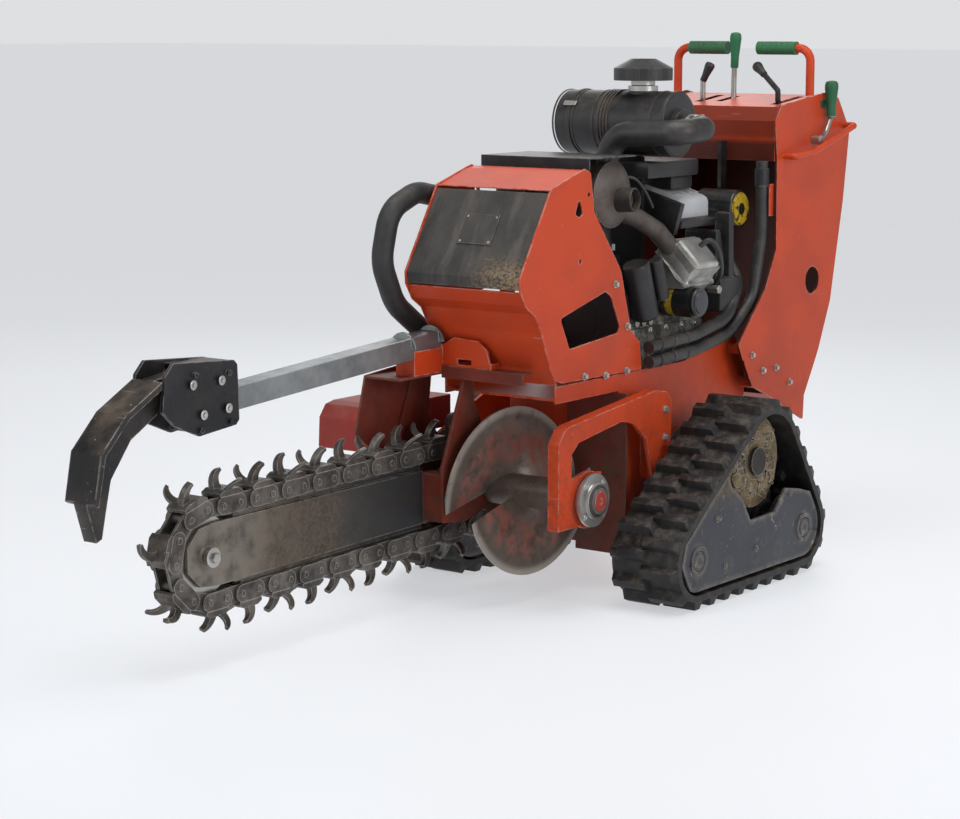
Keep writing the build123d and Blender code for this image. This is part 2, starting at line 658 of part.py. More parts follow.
def air_cleaner():
    """Canister air cleaner: body, ribbed band, dust bowl, inlet neck and outlet."""
    y, z = AIR_CLEANER
    body = rod_x(y, z, AIR_CLEANER_R, -165, 150)
    body = fillet(body.edges(), 8)
    body += rod_x(y, z, AIR_CLEANER_R + 3, -126, -118)
    for i in range(4):
        body += rod_x(y, z, AIR_CLEANER_R + 3, -38 + 9 * i, -33 + 9 * i)
    body += rod_z(45, y, 34, z + 40, z + 88)
    body += rod_x(y, z - 8, 44, 148, 164)
    body += rod_x(y, z - 8, HOSE_R - 3, 164, 196)
    return body


def rain_cap():
    """Domed cap on the air cleaner's neck."""
    y, z = AIR_CLEANER
    neck = rod_z(45, y, 27, z + 88, z + 106)
    bowl = Pos(45, y, z + 118) * Cylinder(71, 30)
    dome = extrude(Plane(origin=(45, y, z + 133)) * Circle(71), amount=22, taper=62)
    return neck + bowl + dome


def intake_hose():
    """Moulded hose from the air cleaner's outlet to the carburettor."""
    y, z = AIR_CLEANER
    path = [(176, y, z - 8), (232, y, z - 8), (222, y - 112, z - 14), (46, y - 118, z - 22), (0, y - 118,
        960),
            (0, y - 118, 783)]
    hose = tube(path, HOSE_R, [34, 34, 60, 60])
    return hose - rod_x(y, z - 8, HOSE_R - 3, 100, 196)


def hose_clamps():
    """Screw band near the hose's upper bend."""
    y, z = AIR_CLEANER
    return ring_x(y, z - 8, HOSE_R + 2.5, HOSE_R, 180, 190)


def hydraulic_filter():
    """Return filter in front of the console, on its bracket."""
    y, z = FILTER
    body = rod_x(y, z, FILTER_R, 30, 142)
    body = fillet(body.edges(), 5)
    body += rod_x(y, z, 36, 141, 146)
    body += box(56, 66, y + 30, 704.5, z - 30, 1040)
    return body


def hydraulic_pump():
    """Pump on the crankshaft's rear end, with its port block."""
    body = rod_y(0, CRANK_Z, 62, ENGINE_Y[1], 552) + rod_y(0, CRANK_Z, 46, 552, 612)
    return body + box(-40, 40, 556, 600, CRANK_Z + 20, CRANK_Z + 70)


def hose_bundle():
    """Two hydraulic hoses along the right rail: one to the console, one to the return filter."""
    low = [(178, 175, 541), (178, 372, 549), (178, 545, 574), (178, 655, 650), (178, 690, 800), (178, 690,
        992)]
    high = [(178, 175, 576), (178, 372, 585), (178, 530, 612), (146, 640, 690), (FILTER_X, FILTER[0], 770),
            (FILTER_X, *FILTER)]
    riser = tube(high, RAIL_HOSE_R, [160, 160, 70, 40])
    riser -= rod_x(*FILTER, FILTER_R + GAP, 0, 200)
    return solids_of(tube(low, RAIL_HOSE_R, [160, 200, 90, 90]), riser.solids().sort_by(SortBy.VOLUME)[-1])


def hose_loop():
    """Sleeved bundle that loops out in front of the hood's left side."""
    x = -(HOOD_X + 39)
    end = -(HOOD_X + 4.3)
    points = [(end, -120, 930), (x, -120, 930), (x, -235, 952), (x, -335, 915), (x, -366, 800), (x, -318,
        700),
              (x, -222, 634), (x, -150, 616), (end, -150, 616)]
    return tube(points, 25, [30, 90, 80, 90, 110, 90, 30])


# ---------------------------------------------------------------- headshaft supports


def head_bracket():
    """Arched bracket that carries one end of the headshaft, lip turned inwards."""
    outline = [(-249, 205), (-249, 402), (-226, 432), (-205, 440), (150, 480), (200, 472), (220, 452),
               (220, 236),
               (150, 205), (132, 209), (150, 268), (137, 279), (113, 366), (60, 412), (6, 424), (-170, 398),
               (-198, 374), (-198, 320), (-78, 320), (-78, 240), (-110, 205)]
    x0, x1 = BRACKET_X - BRACKET_THICK, BRACKET_X
    plate = side_plate(outline, x0, x1) + rod_x(*HEADSHAFT, 66, x0, x1)
    lip = [(-249, 205), (-249, 402), (-226, 432), (-205, 440), (150, 480), (165, 476), (165, 470), (150,
        472),
           (-203, 432), (-221, 425), (-241, 399), (-241, 205)]
    plate += side_plate(lip, x0 - 20, x0)
    return plate - rod_x(*HEADSHAFT, HEADSHAFT_R + 4, x0 - 30, x1 + 30)


def head_brackets():
    """Right bracket and the slimmer left one behind the chain."""
    right = head_bracket()
    outline = [(-205, 212), (-205, 300), (-150, 360), (150, 480), (214, 466), (214, 262), (-60, 205),
               (-150, 190)]
    left = side_plate(outline, -SUPPORT_IN - 8, -SUPPORT_IN) - rod_x(*HEADSHAFT, HEADSHAFT_R + 4, -300, 0)
    left += box(-SUPPORT_IN, -(BRACKET_X - BRACKET_THICK), *SPACER_Y, *SPACER_Z)
    return solids_of(right, left)


def shaft_bearings():
    """Flanged bearing units of the headshaft, with their housings' domes."""
    y, z = HEADSHAFT
    right = rod_x(y, z, 52, BRACKET_X, BRACKET_X + 10) + rod_x(y, z, BEARING_R, BRACKET_X + 10,
                                                               BRACKET_X + 17)
    right += rod_x(y, z, 42, BRACKET_X + 17, BRACKET_X + 26)
    right -= ring_x(y, z, 38, 34, BRACKET_X + 22, BRACKET_X + 27)
    right -= rod_x(y, z, HEADSHAFT_R + SEAT, 150, 300)
    edge = SUPPORT_IN + 8
    left = rod_x(y, z, 56, -edge - 12, -edge) - rod_x(y, z, HEADSHAFT_R + SEAT, -300, -100)
    return solids_of(right, left)


def head_motor():
    """Hydraulic motor that turns the headshaft, on the left bearing."""
    y, z = HEADSHAFT
    edge = SUPPORT_IN + 20
    body = rod_x(y, z, 56, -edge - 60, -edge) + rod_x(y, z, 44, -edge - 118, -edge - 60)
    body += box(-edge - 100, -edge - 70, y - 24, y + 24, z + 20, z + 62)
    return body - rod_x(y, z, HEADSHAFT_R + 1, -edge - 20, 0)


def apron():
    """Front apron plates between the tracks, behind the auger."""
    plate = box(14, BRACKET_X - BRACKET_THICK - 22, FRONT_WALL_Y - 6, FRONT_WALL_Y, 92, 478)
    return plate - box(14, 40, 0, 100, 90, 112)


def left_fender():
    """Riveted guard in front of the left track, over the headshaft motor."""
    outline = [(-356, 352), (-352, 424), (-330, 452), (-300, 458), (-60, 458), (-60, 450), (-298, 450),
               (-326, 445),
               (-345, 421), (-348, 352)]
    guard = side_plate(outline, -398, -(SUPPORT_IN + 10))
    web = [(-60, 458), (-300, 458), (-330, 452), (-352, 424), (-356, 352), (-310, 352), (-250, 380), (-60,
        380)]
    guard += side_plate(web, -SUPPORT_IN - 18, -SUPPORT_IN - 8.3)
    return guard


# ---------------------------------------------------------------- boom, chain and auger
def boom_place(shape):
    """Turns a shape modelled with the boom along -Y from the headshaft into its place."""
    return Pos(BOOM_X, *HEADSHAFT) * Rot(BOOM_DROP, 0, 0) * shape


def chain_pins():
    """Pin centres (y, z) round the loop in the boom's own frame, anticlockwise from the sprocket's top."""
    wrap = DIG_TEETH // 2
    turn = 2 * math.pi / DIG_TEETH
    pins = [(-i * CHAIN_PITCH, CHAIN_R) for i in range(STRAND_PITCHES)]
    pins += [(-BAR_LENGTH + CHAIN_R * math.cos(math.pi / 2 + turn * i),
              CHAIN_R * math.sin(math.pi / 2 + turn * i))
             for i in range(wrap)]
    pins += [(-BAR_LENGTH + i * CHAIN_PITCH, -CHAIN_R) for i in range(STRAND_PITCHES)]
    pins += [(CHAIN_R * math.cos(-math.pi / 2 + turn * i), CHAIN_R * math.sin(-math.pi / 2 + turn * i))
             for i in range(wrap)]
    return pins


def link_places():
    """(place, index) of every link: its first pin at the origin and its second one pitch along +Y."""
    pins = chain_pins()
    places = []
    for i, (y, z) in enumerate(pins):
        y2, z2 = pins[(i + 1) % len(pins)]
        places.append((Pos(0, y, z) * Rot(math.degrees(math.atan2(z2 - z, y2 - y)), 0, 0), i))
    return places


def side_bar(x0, x1, length=CHAIN_PITCH):
    """One link side plate with rounded ends, between x0 and x1."""
    half = SIDE_BAR_HEIGHT / 2
    bar = box(x0, x1, 0, length, -half, half)
    return bar + rod_x(0, 0, half, x0, x1) + rod_x(length, 0, half, x0, x1)


def chain_inner_links():
    """Bushed links."""
    half = LINK_INNER_WIDTH / 2
    outer = half + SIDE_BAR_THICK
    link = side_bar(half, outer) + side_bar(-outer, -half)
    for y in (0, CHAIN_PITCH):
        link += rod_x(y, 0, CHAIN_BUSH_R, -half, half)
        link -= rod_x(y, 0, CHAIN_PIN_R + SEAT, -outer - 1, outer + 1)
    return solids_of(*[boom_place(place * link) for place, i in link_places() if i % 2])


def crescent(root, width, height, curl, foot, x0, x1):
    """Curled tooth: a (y, z) crescent on its foot at root, leaning back by curl to a blunt tip."""
    tip = (root - curl, foot - height)
    heel = (root - width, foot)
    edges = [
        ThreePointArc(*[(x0, y, z) for y, z in ((root, foot), (root - curl * 0.12, foot - height * 0.6),
                                                tip)]),
        Line((x0, *tip), (x0, tip[0] - 3, tip[1] + 7)),
        ThreePointArc((x0, tip[0] - 3, tip[1] + 7), (x0, root - width * 0.72, foot - height * 0.42), (x0,
            *heel)),
        Line((x0, *heel), (x0, root, foot)),
    ]
    return extrude(Face(Wire(edges)), amount=x1 - x0, dir=(1, 0, 0))


def cutter(side):
    """Cutter of one link: faceted saddle, a curled tooth and a thin cup that leans to the other side."""
    base_z = -(SIDE_BAR_HEIGHT / 2 + 10)
    half = LINK_INNER_WIDTH / 2 + 2 * SIDE_BAR_THICK + GAP
    mid = CHAIN_PITCH / 2
    seat_z = -SIDE_BAR_HEIGHT / 2 - GAP
    saddle = side_plate([(-9, seat_z), (-9, base_z + 3), (2, base_z - 4), (CHAIN_PITCH - 4, base_z - 4),
                         (CHAIN_PITCH + 9, base_z + 3), (CHAIN_PITCH + 9, seat_z)], -half, half)
    tooth = crescent(mid + 24, 26, CUTTER_HEIGHT - 4, 30, base_z, -7, 7)
    tooth = Pos(side * 6, 0, base_z) * Rot(0, -side * 14, 0) * Pos(0, 0, -base_z) * tooth
    cup = crescent(mid + 22, 24, CUTTER_HEIGHT - 4, 24, base_z, -3, 3)
    lean = 48.0
    cup = Pos(-side * (half - 6), 0, base_z) * Rot(0, side * lean, 0) * Pos(0, 0, -base_z) * cup
    clear = box(-100, 100, -100, 150, seat_z, 50)
    keep = box(-CUTTER_HALF_WIDTH, CUTTER_HALF_WIDTH, -100, 150, base_z - CUTTER_HEIGHT, 0)
    return ((saddle + tooth + cup) & keep) - clear


def chain_outer_links():
    """Pinned links with thick side plates."""
    inner = LINK_INNER_WIDTH / 2 + SIDE_BAR_THICK + GAP
    outer = inner + SIDE_BAR_THICK
    link = side_bar(inner, outer) + side_bar(-outer, -inner)
    for y in (0, CHAIN_PITCH):
        link += rod_x(y, 0, CHAIN_PIN_R, -outer - 3, outer + 3)
    half = SIDE_BAR_HEIGHT / 2
    link += box(-outer, outer, -6, CHAIN_PITCH + 6, -half - GAP, -half + 0.5) - box(-inner, inner, -40,
        90, -half, 0)
    return solids_of(*[boom_place(place * link) for place, i in link_places() if i % 2 == 0])


def chain_cutters():
    """Cutters bolted on the outer links, alternately to each side."""
    found = []
    for place, i in link_places():
        if i % 2 == 0:
            found.append(boom_place(place * cutter(1 if i % 4 else -1)))
    return solids_of(*found)


def boom_bar():
    """Boom bar: core, wear strips for the chain, cheek plates with the nose end and its axle."""
    roller_gap = 6.0
    core_end = -(BAR_LENGTH - NOSE_R - roller_gap)
    bar = box(-NOSE_PLATE_IN, NOSE_PLATE_IN, core_end, -BAR_START, -STRIP_TOP + RAIL_STRIP,
              STRIP_TOP - RAIL_STRIP)
    for side in (1, -1):
        z0 = side * (STRIP_TOP - RAIL_STRIP)
        bar += box(-13, 13, core_end + 20, -BAR_START + 40, z0, side * STRIP_TOP)
    end = -BAR_LENGTH
    outline = [(-BAR_START, -BAR_HALF_HEIGHT), (-BAR_START, BAR_HALF_HEIGHT), (end + 30,
        BAR_HALF_HEIGHT + 6),
               (end - 22, BAR_HALF_HEIGHT), (end - 58, 26), (end - 58, -26), (end - 22, -BAR_HALF_HEIGHT),
               (end + 30, -BAR_HALF_HEIGHT - 6)]
    for side in (1, -1):
        bar += side_plate(outline, side * NOSE_PLATE_IN, side * (NOSE_PLATE_IN + 8))
    bar += rod_x(end, 0, NOSE_AXLE_R, -NOSE_PLATE_IN - 8, NOSE_PLATE_IN + 8)
    bar += rod_x(end, 0, 22, NOSE_PLATE_IN + 8, NOSE_PLATE_IN + 12)
    bar += rod_x(end, 0, 13, NOSE_PLATE_IN + 12, NOSE_PLATE_IN + 26)
    return boom_place(bar)


def nose_roller():
    """Roller that the chain turns round at the boom's tip."""
    wheel = rod_x(-BAR_LENGTH, 0, NOSE_R, -13, 13) - rod_x(-BAR_LENGTH, 0, NOSE_AXLE_R + SEAT, -20, 20)
    return boom_place(wheel)


def boom_frame():
    """Side plates that swing on the headshaft, joined by the spar that carries the boom bar."""
    hub = HEADSHAFT_R + 28
    left_in = FRAME_LEFT_X + FRAME_PLATE
    right_in = FRAME_RIGHT_X - FRAME_PLATE
    start = HEADSHAFT[0]
    frame = None
    outline = [(start + 50, 290), (start - 30, 400), (start - 68, 470), (start - 78, GUARD_TOP),
               (start - 96, GUARD_TOP), (start - 190, 330), (start - BAR_START, 204), (start - 100, 196),
               (start - 40, 214), (start + 30, 214), (start + 50, 240)]
    for x0, x1 in ((FRAME_LEFT_X, left_in), (right_in, FRAME_RIGHT_X)):
        plate = side_plate(outline, x0, x1) + rod_x(*HEADSHAFT, hub, x0, x1)
        plate -= rod_x(*HEADSHAFT, HEADSHAFT_R + SEAT, x0 - 1, x1 + 1)
        frame = plate if frame is None else frame + plate
    spar = boom_place(box(left_in - BOOM_X, right_in - BOOM_X, -BAR_START, -BAR_START + 52, -SPAR_HALF,
                          SPAR_HALF))
    return frame + spar


def boom_guard():
    """Shelf over the sprocket with its front lip, and the side curtain on the left."""
    left = FRAME_LEFT_X - 5
    shelf = box(left, 112, SHELF_FRONT, SHELF_BACK, GUARD_TOP, GUARD_TOP + SHELF_THICK)
    shelf += box(-118, 112, SHELF_FRONT - 5, SHELF_FRONT, GUARD_TOP - 22, GUARD_TOP + SHELF_THICK)
    curtain = [(-150, GUARD_TOP), (SHELF_FRONT, GUARD_TOP + 5), (-400, GUARD_TOP - 8), (-436, 410), (-330,
        330),
               (-180, 330)]
    shelf += side_plate(curtain, left, FRAME_LEFT_X)
    shelf += box(left, -118, -400, SHELF_FRONT, GUARD_TOP - 14, GUARD_TOP - 14 + SHELF_THICK)
    shelf += box(left, -118, SHELF_FRONT - 5, SHELF_FRONT, GUARD_TOP - 14, GUARD_TOP + SHELF_THICK)
    return shelf


def headshaft():
    """Shaft through sprocket and auger, with the sprocket's hub collar."""
    y, z = HEADSHAFT
    return rod_x(y, z, HEADSHAFT_R, HEADSHAFT_LEFT, HEADSHAFT_RIGHT)


def dig_sprocket():
    """Notched wheel in the digging chain, cut short of the bushes: it turns while the chain is still."""
    wheel = rod_x(0, 0, CHAIN_R - CHAIN_BUSH_R - SPROCKET_CLEAR, -13, 13)
    turn = 2 * math.pi / DIG_TEETH
    for i in range(DIG_TEETH):
        a = math.pi / 2 + turn * i
        notch_r = CHAIN_R - SPROCKET_NOTCH
        wheel -= rod_x(notch_r * math.cos(a), notch_r * math.sin(a), CHAIN_BUSH_R, -14, 14)
    wheel += rod_x(0, 0, 52, -40, 40)
    wheel -= rod_x(0, 0, HEADSHAFT_R, -41, 41)
    return boom_place(wheel)


def flight(start_x, angle, sweep_angle, length):
    """Half auger flight: a thin sector swept along X while it turns."""
    wide = 10.0
    steps = 4
    rim = [(AUGER_R * math.cos(math.radians(a)), AUGER_R * math.sin(math.radians(a)))
           for a in [-wide / 2 + wide * k / steps for k in range(steps + 1)]]
    core = AUGER_TUBE_R - 3
    root = [(core * math.cos(math.radians(a)), core * math.sin(math.radians(a))) for a in (wide / 2,
        -wide / 2)]
    face = Face(Wire.make_polygon([Vector(u, v, 0) for u, v in rim + root], close=True))
    twist = Solid.extrude_linear_with_rotation(face, (0, 0, 0), (0, 0, length), sweep_angle)
    # a turn of +90 about Y then X sends local z to X and the local plane to (y, z)
    return Plane(origin=(start_x, *HEADSHAFT), x_dir=(0, math.cos(math.radians(angle)),
                                                      math.sin(math.radians(angle))),
                 z_dir=(1, 0, 0)) * twist


def auger():
    """Tube and two half flights, end collars included."""
    y, z = HEADSHAFT
    body = rod_x(y, z, AUGER_TUBE_R, AUGER_START_X - 3, 182)
    body += flight(AUGER_START_X, 186, -180, 92)
    body += flight(24, 200, 165, 66)
    body += ring_x(y, z, 45, AUGER_TUBE_R - 2, 150, 182)
    return body - rod_x(y, z, HEADSHAFT_R, -100, 300)


# ---------------------------------------------------------------- trench cleaner


def cleaner_place():
    """Place of the cleaner's bar: its machine end at the origin, the bar along -Y."""
    (ya, za), (yb, zb) = CLEANER_BASE, CLEANER_TIP
    return Pos(CLEANER_X, ya, za) * Rot(math.degrees(math.atan2(za - zb, ya - yb)), 0, 0)


def crumber_bracket():
    """Upright plate on the shelf with a rolled right side, and the saddle under the cleaner's bar."""
    top = GUARD_TOP + SHELF_THICK
    outline = [(-172, top), (-172, top + 22), (-84, top + 68), (-16, top + 64), (8, top + 44), (20, top)]
    plate = front_plate(outline, SHELF_FRONT, SHELF_FRONT + 6)
    plate -= box(-76, -36, SHELF_FRONT - 1, SHELF_FRONT + 7, top + 6, top + 19)
    plate += box(14, 20, SHELF_FRONT, SHELF_BACK, top, top + 14)
    half = CLEANER_BAR / 2 + 2
    base = GUARD_TOP - 14 + SHELF_THICK
    plate += box(CLEANER_X - half, CLEANER_X + half, -345, SHELF_FRONT - 5, base, CLEANER_BASE[1] - 14)
    plate += box(CLEANER_X - half, CLEANER_X + half, SHELF_FRONT - 5, SHELF_FRONT + 6, top,
                 CLEANER_BASE[1] - 6)
    clear = CLEANER_BAR / 2 + SEAT
    return plate - cleaner_place() * box(-clear, clear, -200, 60, -clear, 80)


def crumber_bar():
    """Square bar of the trench cleaner with its two ring clamps."""
    half = CLEANER_BAR / 2
    length = math.dist(CLEANER_BASE, CLEANER_TIP) + 70
    bar = box(-half, half, -length, 0, -half, half) - box(-half + 4, half - 4, -length - 1, 1, -half + 4,
                                                          half - 4)
    ring_r = half * 1.5
    for y in (-112.0, -10.0):
        ring = rod_y(0, 0, ring_r, y, y + 7) - box(-half + 1, half - 1, y - 1, y + 8, -half + 1, half - 1)
        bar += ring - box(-60, 60, y - 1, y + 8, -80, 0)
    return cleaner_place() * bar


def crumber_head():
    """Twin cheek plates with their bolts and the saddle that clamps the shoe to the bar."""
    outline = [(-1176, 636), (-1150, 662), (-970, 650), (-960, 640), (-956, 524), (-966, 514), (-1077, 504),
               (-1150, 534), (-1184, 566)]
    right = side_plate(outline, CLEANER_X + HEAD_HALF - HEAD_PLATE, CLEANER_X + HEAD_HALF, 5)
    head = right + side_plate(outline, CLEANER_X - HEAD_HALF, CLEANER_X - HEAD_HALF + HEAD_PLATE, 5)
    for y, z in ((-985, 524), (-1075, 516), (-990, 626), (-1090, 632)):
        head += rod_x(y, z, 6, CLEANER_X - HEAD_HALF - 7, CLEANER_X + HEAD_HALF + 7)
    head += box(CLEANER_X - HEAD_HALF, CLEANER_X + HEAD_HALF, -1090, -975, 645, 650)
    head += box(CLEANER_X - HEAD_HALF, CLEANER_X + HEAD_HALF, -1055, -990, 548, 574)
    clear = CLEANER_BAR / 2 + SEAT
    return head - cleaner_place() * box(-clear, clear, -1000, 60, -clear, clear)


def crumber_shoe():
    """Curved claw that trails behind the digging chain, with its wear point and outer wings."""
    outline = [(-1070, 642), (-1180, 628), (-1284, 574), (-1356, 504), (-1376, 406), (-1350, 324), (-1334,
        330),
               (-1322, 382), (-1306, 445), (-1248, 517), (-1176, 556), (-1110, 600)]
    shoe = side_plate(outline, CLEANER_X - 18, CLEANER_X + 18)
    wing = [(-1180, 628), (-1284, 574), (-1356, 504), (-1376, 406), (-1364, 400), (-1342, 498), (-1274, 564),
            (-1180, 612)]
    shoe += side_plate(wing, CLEANER_X - 42, CLEANER_X + 42)
    return (shoe - crumber_head()) - crumber_bar()


# ---------------------------------------------------------------- fasteners
def bolts():
    """Flanged bolts of hood, rails, brackets and console."""
    found = []
    for y, z in RAIL_BOLTS[:3]:
        found.append(hex_bolt_x(HOOD_X + 4, y, z + 22, 1))
    for y, z in ((53, 736), (126, 633)):
        found.append(hex_bolt_x(HOOD_X + 4, y if y < 100 else 104, z, 1))
    for z in (430, 363, 297):
        found.append(hex_bolt_x(BRACKET_X, 192, z, 1, 7))
    for y, z in ((600, 515), (655, 470), (720, 470), (790, 425)):
        found.append(hex_bolt_x(CONSOLE_X, y, z, 1))
    return solids_of(*found)


# ---------------------------------------------------------------- the whole machine
def nodes():
    """Every part by node name."""
    hood_right = hood_side()
    frame = track_frame()
    belt = track_belt()
    return {
        "main_frame": main_frame(),
        "hood_side_right": hood_right,
        "hood_side_left": mirrored(hood_right),
        "hood_top": hood_top(),
        "hood_front_panel": hood_front_panel(),
        "hood_lower_panel": hood_lower_panel(),
        "badge_plate": badge_plate(),
        "console_sides": console_sides(),
        "console_cover": console_cover(),
        "handle_bars": handle_bars(),
        "handle_grips": handle_grips(),
        "lever_left": lever("left", 13, 48, (-55, 822, 1232)),
        "lever_centre": lever("centre", 14, 62, (-18, 882, 1310)),
        "lever_right": lever("right", 13, 52, (50, 872, 1226)),
        "lever_side": side_lever(),
        "engine_block": engine_block(),
        "cylinder_heads": cylinder_heads(),
        "blower_housing": blower_housing(),
        "oil_filter": oil_filter(),
        "muffler": muffler(),
        "heat_shield": heat_shield(),
        "air_cleaner": air_cleaner(),
        "rain_cap": rain_cap(),
        "intake_hose": intake_hose(),
        "hose_clamps": hose_clamps(),
        "hydraulic_filter": hydraulic_filter(),
        "hydraulic_pump": hydraulic_pump(),
        "hose_bundle": hose_bundle(),
        "hose_loop": hose_loop(),
        "head_brackets": head_brackets(),
        "shaft_bearings": shaft_bearings(),
        "head_motor": head_motor(),
        "apron": apron(),
        "left_fender": left_fender(),
        "track_belt_right": belt,
        "track_belt_left": mirrored(belt),
        "track_frame_right": frame,
        "track_frame_left": mirrored(frame),
        "track_motors": solids_of(drive_motor(), mirrored(drive_motor())),
        "sprocket_right": track_sprocket(),
        "sprocket_left": mirrored(track_sprocket()),
        "front_idler_right": idler(FRONT_IDLER),
        "front_idler_left": mirrored(idler(FRONT_IDLER)),
        "rear_idler_right": idler(REAR_IDLER),
        "rear_idler_left": mirrored(idler(REAR_IDLER)),
        "boom_frame": boom_frame(),
        "boom_guard": boom_guard(),
        "boom_bar": boom_bar(),
        "chain_inner_links": chain_inner_links(),
        "chain_outer_links": chain_outer_links(),
        "chain_cutters": chain_cutters(),
        "nose_roller": nose_roller(),
        "headshaft": headshaft(),
        "dig_sprocket": dig_sprocket(),
        "auger": auger(),
        "crumber_bracket": crumber_bracket(),
        "crumber_bar": crumber_bar(),
        "crumber_head": crumber_head(),
        "crumber_shoe": crumber_shoe(),
        "bolts": bolts(),
    }


def main():
    """Builds, recentres and writes every part."""
    parts = nodes()
    boxes = [shape.bounding_box() for shape in parts.values()]
    low = [min(getattr(b.min, axis) for b in boxes) for axis in "XYZ"]
    high = [max(getattr(b.max, axis) for b in boxes) for axis in "XYZ"]
    move = Pos(-(low[0] + high[0]) / 2, -(low[1] + high[1]) / 2, -low[2])
    print("moved by", [round(v, 4) for v in (-(low[0] + high[0]) / 2, -(low[1] + high[1]) / 2, -low[2])])
    print("size", [round(h - l, 2) for l, h in zip(low, high)])
    os.makedirs("parts", exist_ok=True)
    for name, shape in parts.items():
        export_step(move * shape, f"parts/{name}.step")


main()
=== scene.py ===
"""How the walk-behind tracked trencher looks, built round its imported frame. Lengths are in metres."""
import json
import math
import random

import bmesh
import bpy
from mathutils import Matrix, Vector, noise


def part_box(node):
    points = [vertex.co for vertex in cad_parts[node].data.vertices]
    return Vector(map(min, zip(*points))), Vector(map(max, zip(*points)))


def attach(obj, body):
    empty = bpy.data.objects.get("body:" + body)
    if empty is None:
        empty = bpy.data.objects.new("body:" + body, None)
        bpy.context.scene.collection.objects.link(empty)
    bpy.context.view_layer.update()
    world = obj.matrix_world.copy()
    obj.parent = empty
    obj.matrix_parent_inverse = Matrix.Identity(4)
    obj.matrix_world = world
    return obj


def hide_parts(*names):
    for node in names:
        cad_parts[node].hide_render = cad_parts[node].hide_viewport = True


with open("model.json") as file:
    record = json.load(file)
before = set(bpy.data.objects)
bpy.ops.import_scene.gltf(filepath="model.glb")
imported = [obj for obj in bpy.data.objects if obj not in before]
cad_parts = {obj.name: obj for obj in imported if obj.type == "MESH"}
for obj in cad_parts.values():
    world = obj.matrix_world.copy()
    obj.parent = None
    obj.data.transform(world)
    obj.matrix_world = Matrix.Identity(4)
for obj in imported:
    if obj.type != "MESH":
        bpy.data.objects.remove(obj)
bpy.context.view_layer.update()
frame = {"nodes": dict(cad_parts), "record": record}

NODES = frame["nodes"]


# ---------------------------------------------------------------- material kit
EDGE_GAIN = 3.6     # brings the softened turn of a square edge to about 1
MARK_CELL = 0.3     # share of its cell that a scratch fills


def tone(red, green, blue):
    """A colour as the eye reads it, 0 to 255, made linear."""
    parts = [value / 255 for value in (red, green, blue)]
    return (*[v / 12.92 if v <= 0.04045 else ((v + 0.055) / 1.055) ** 2.4 for v in parts], 1.0)


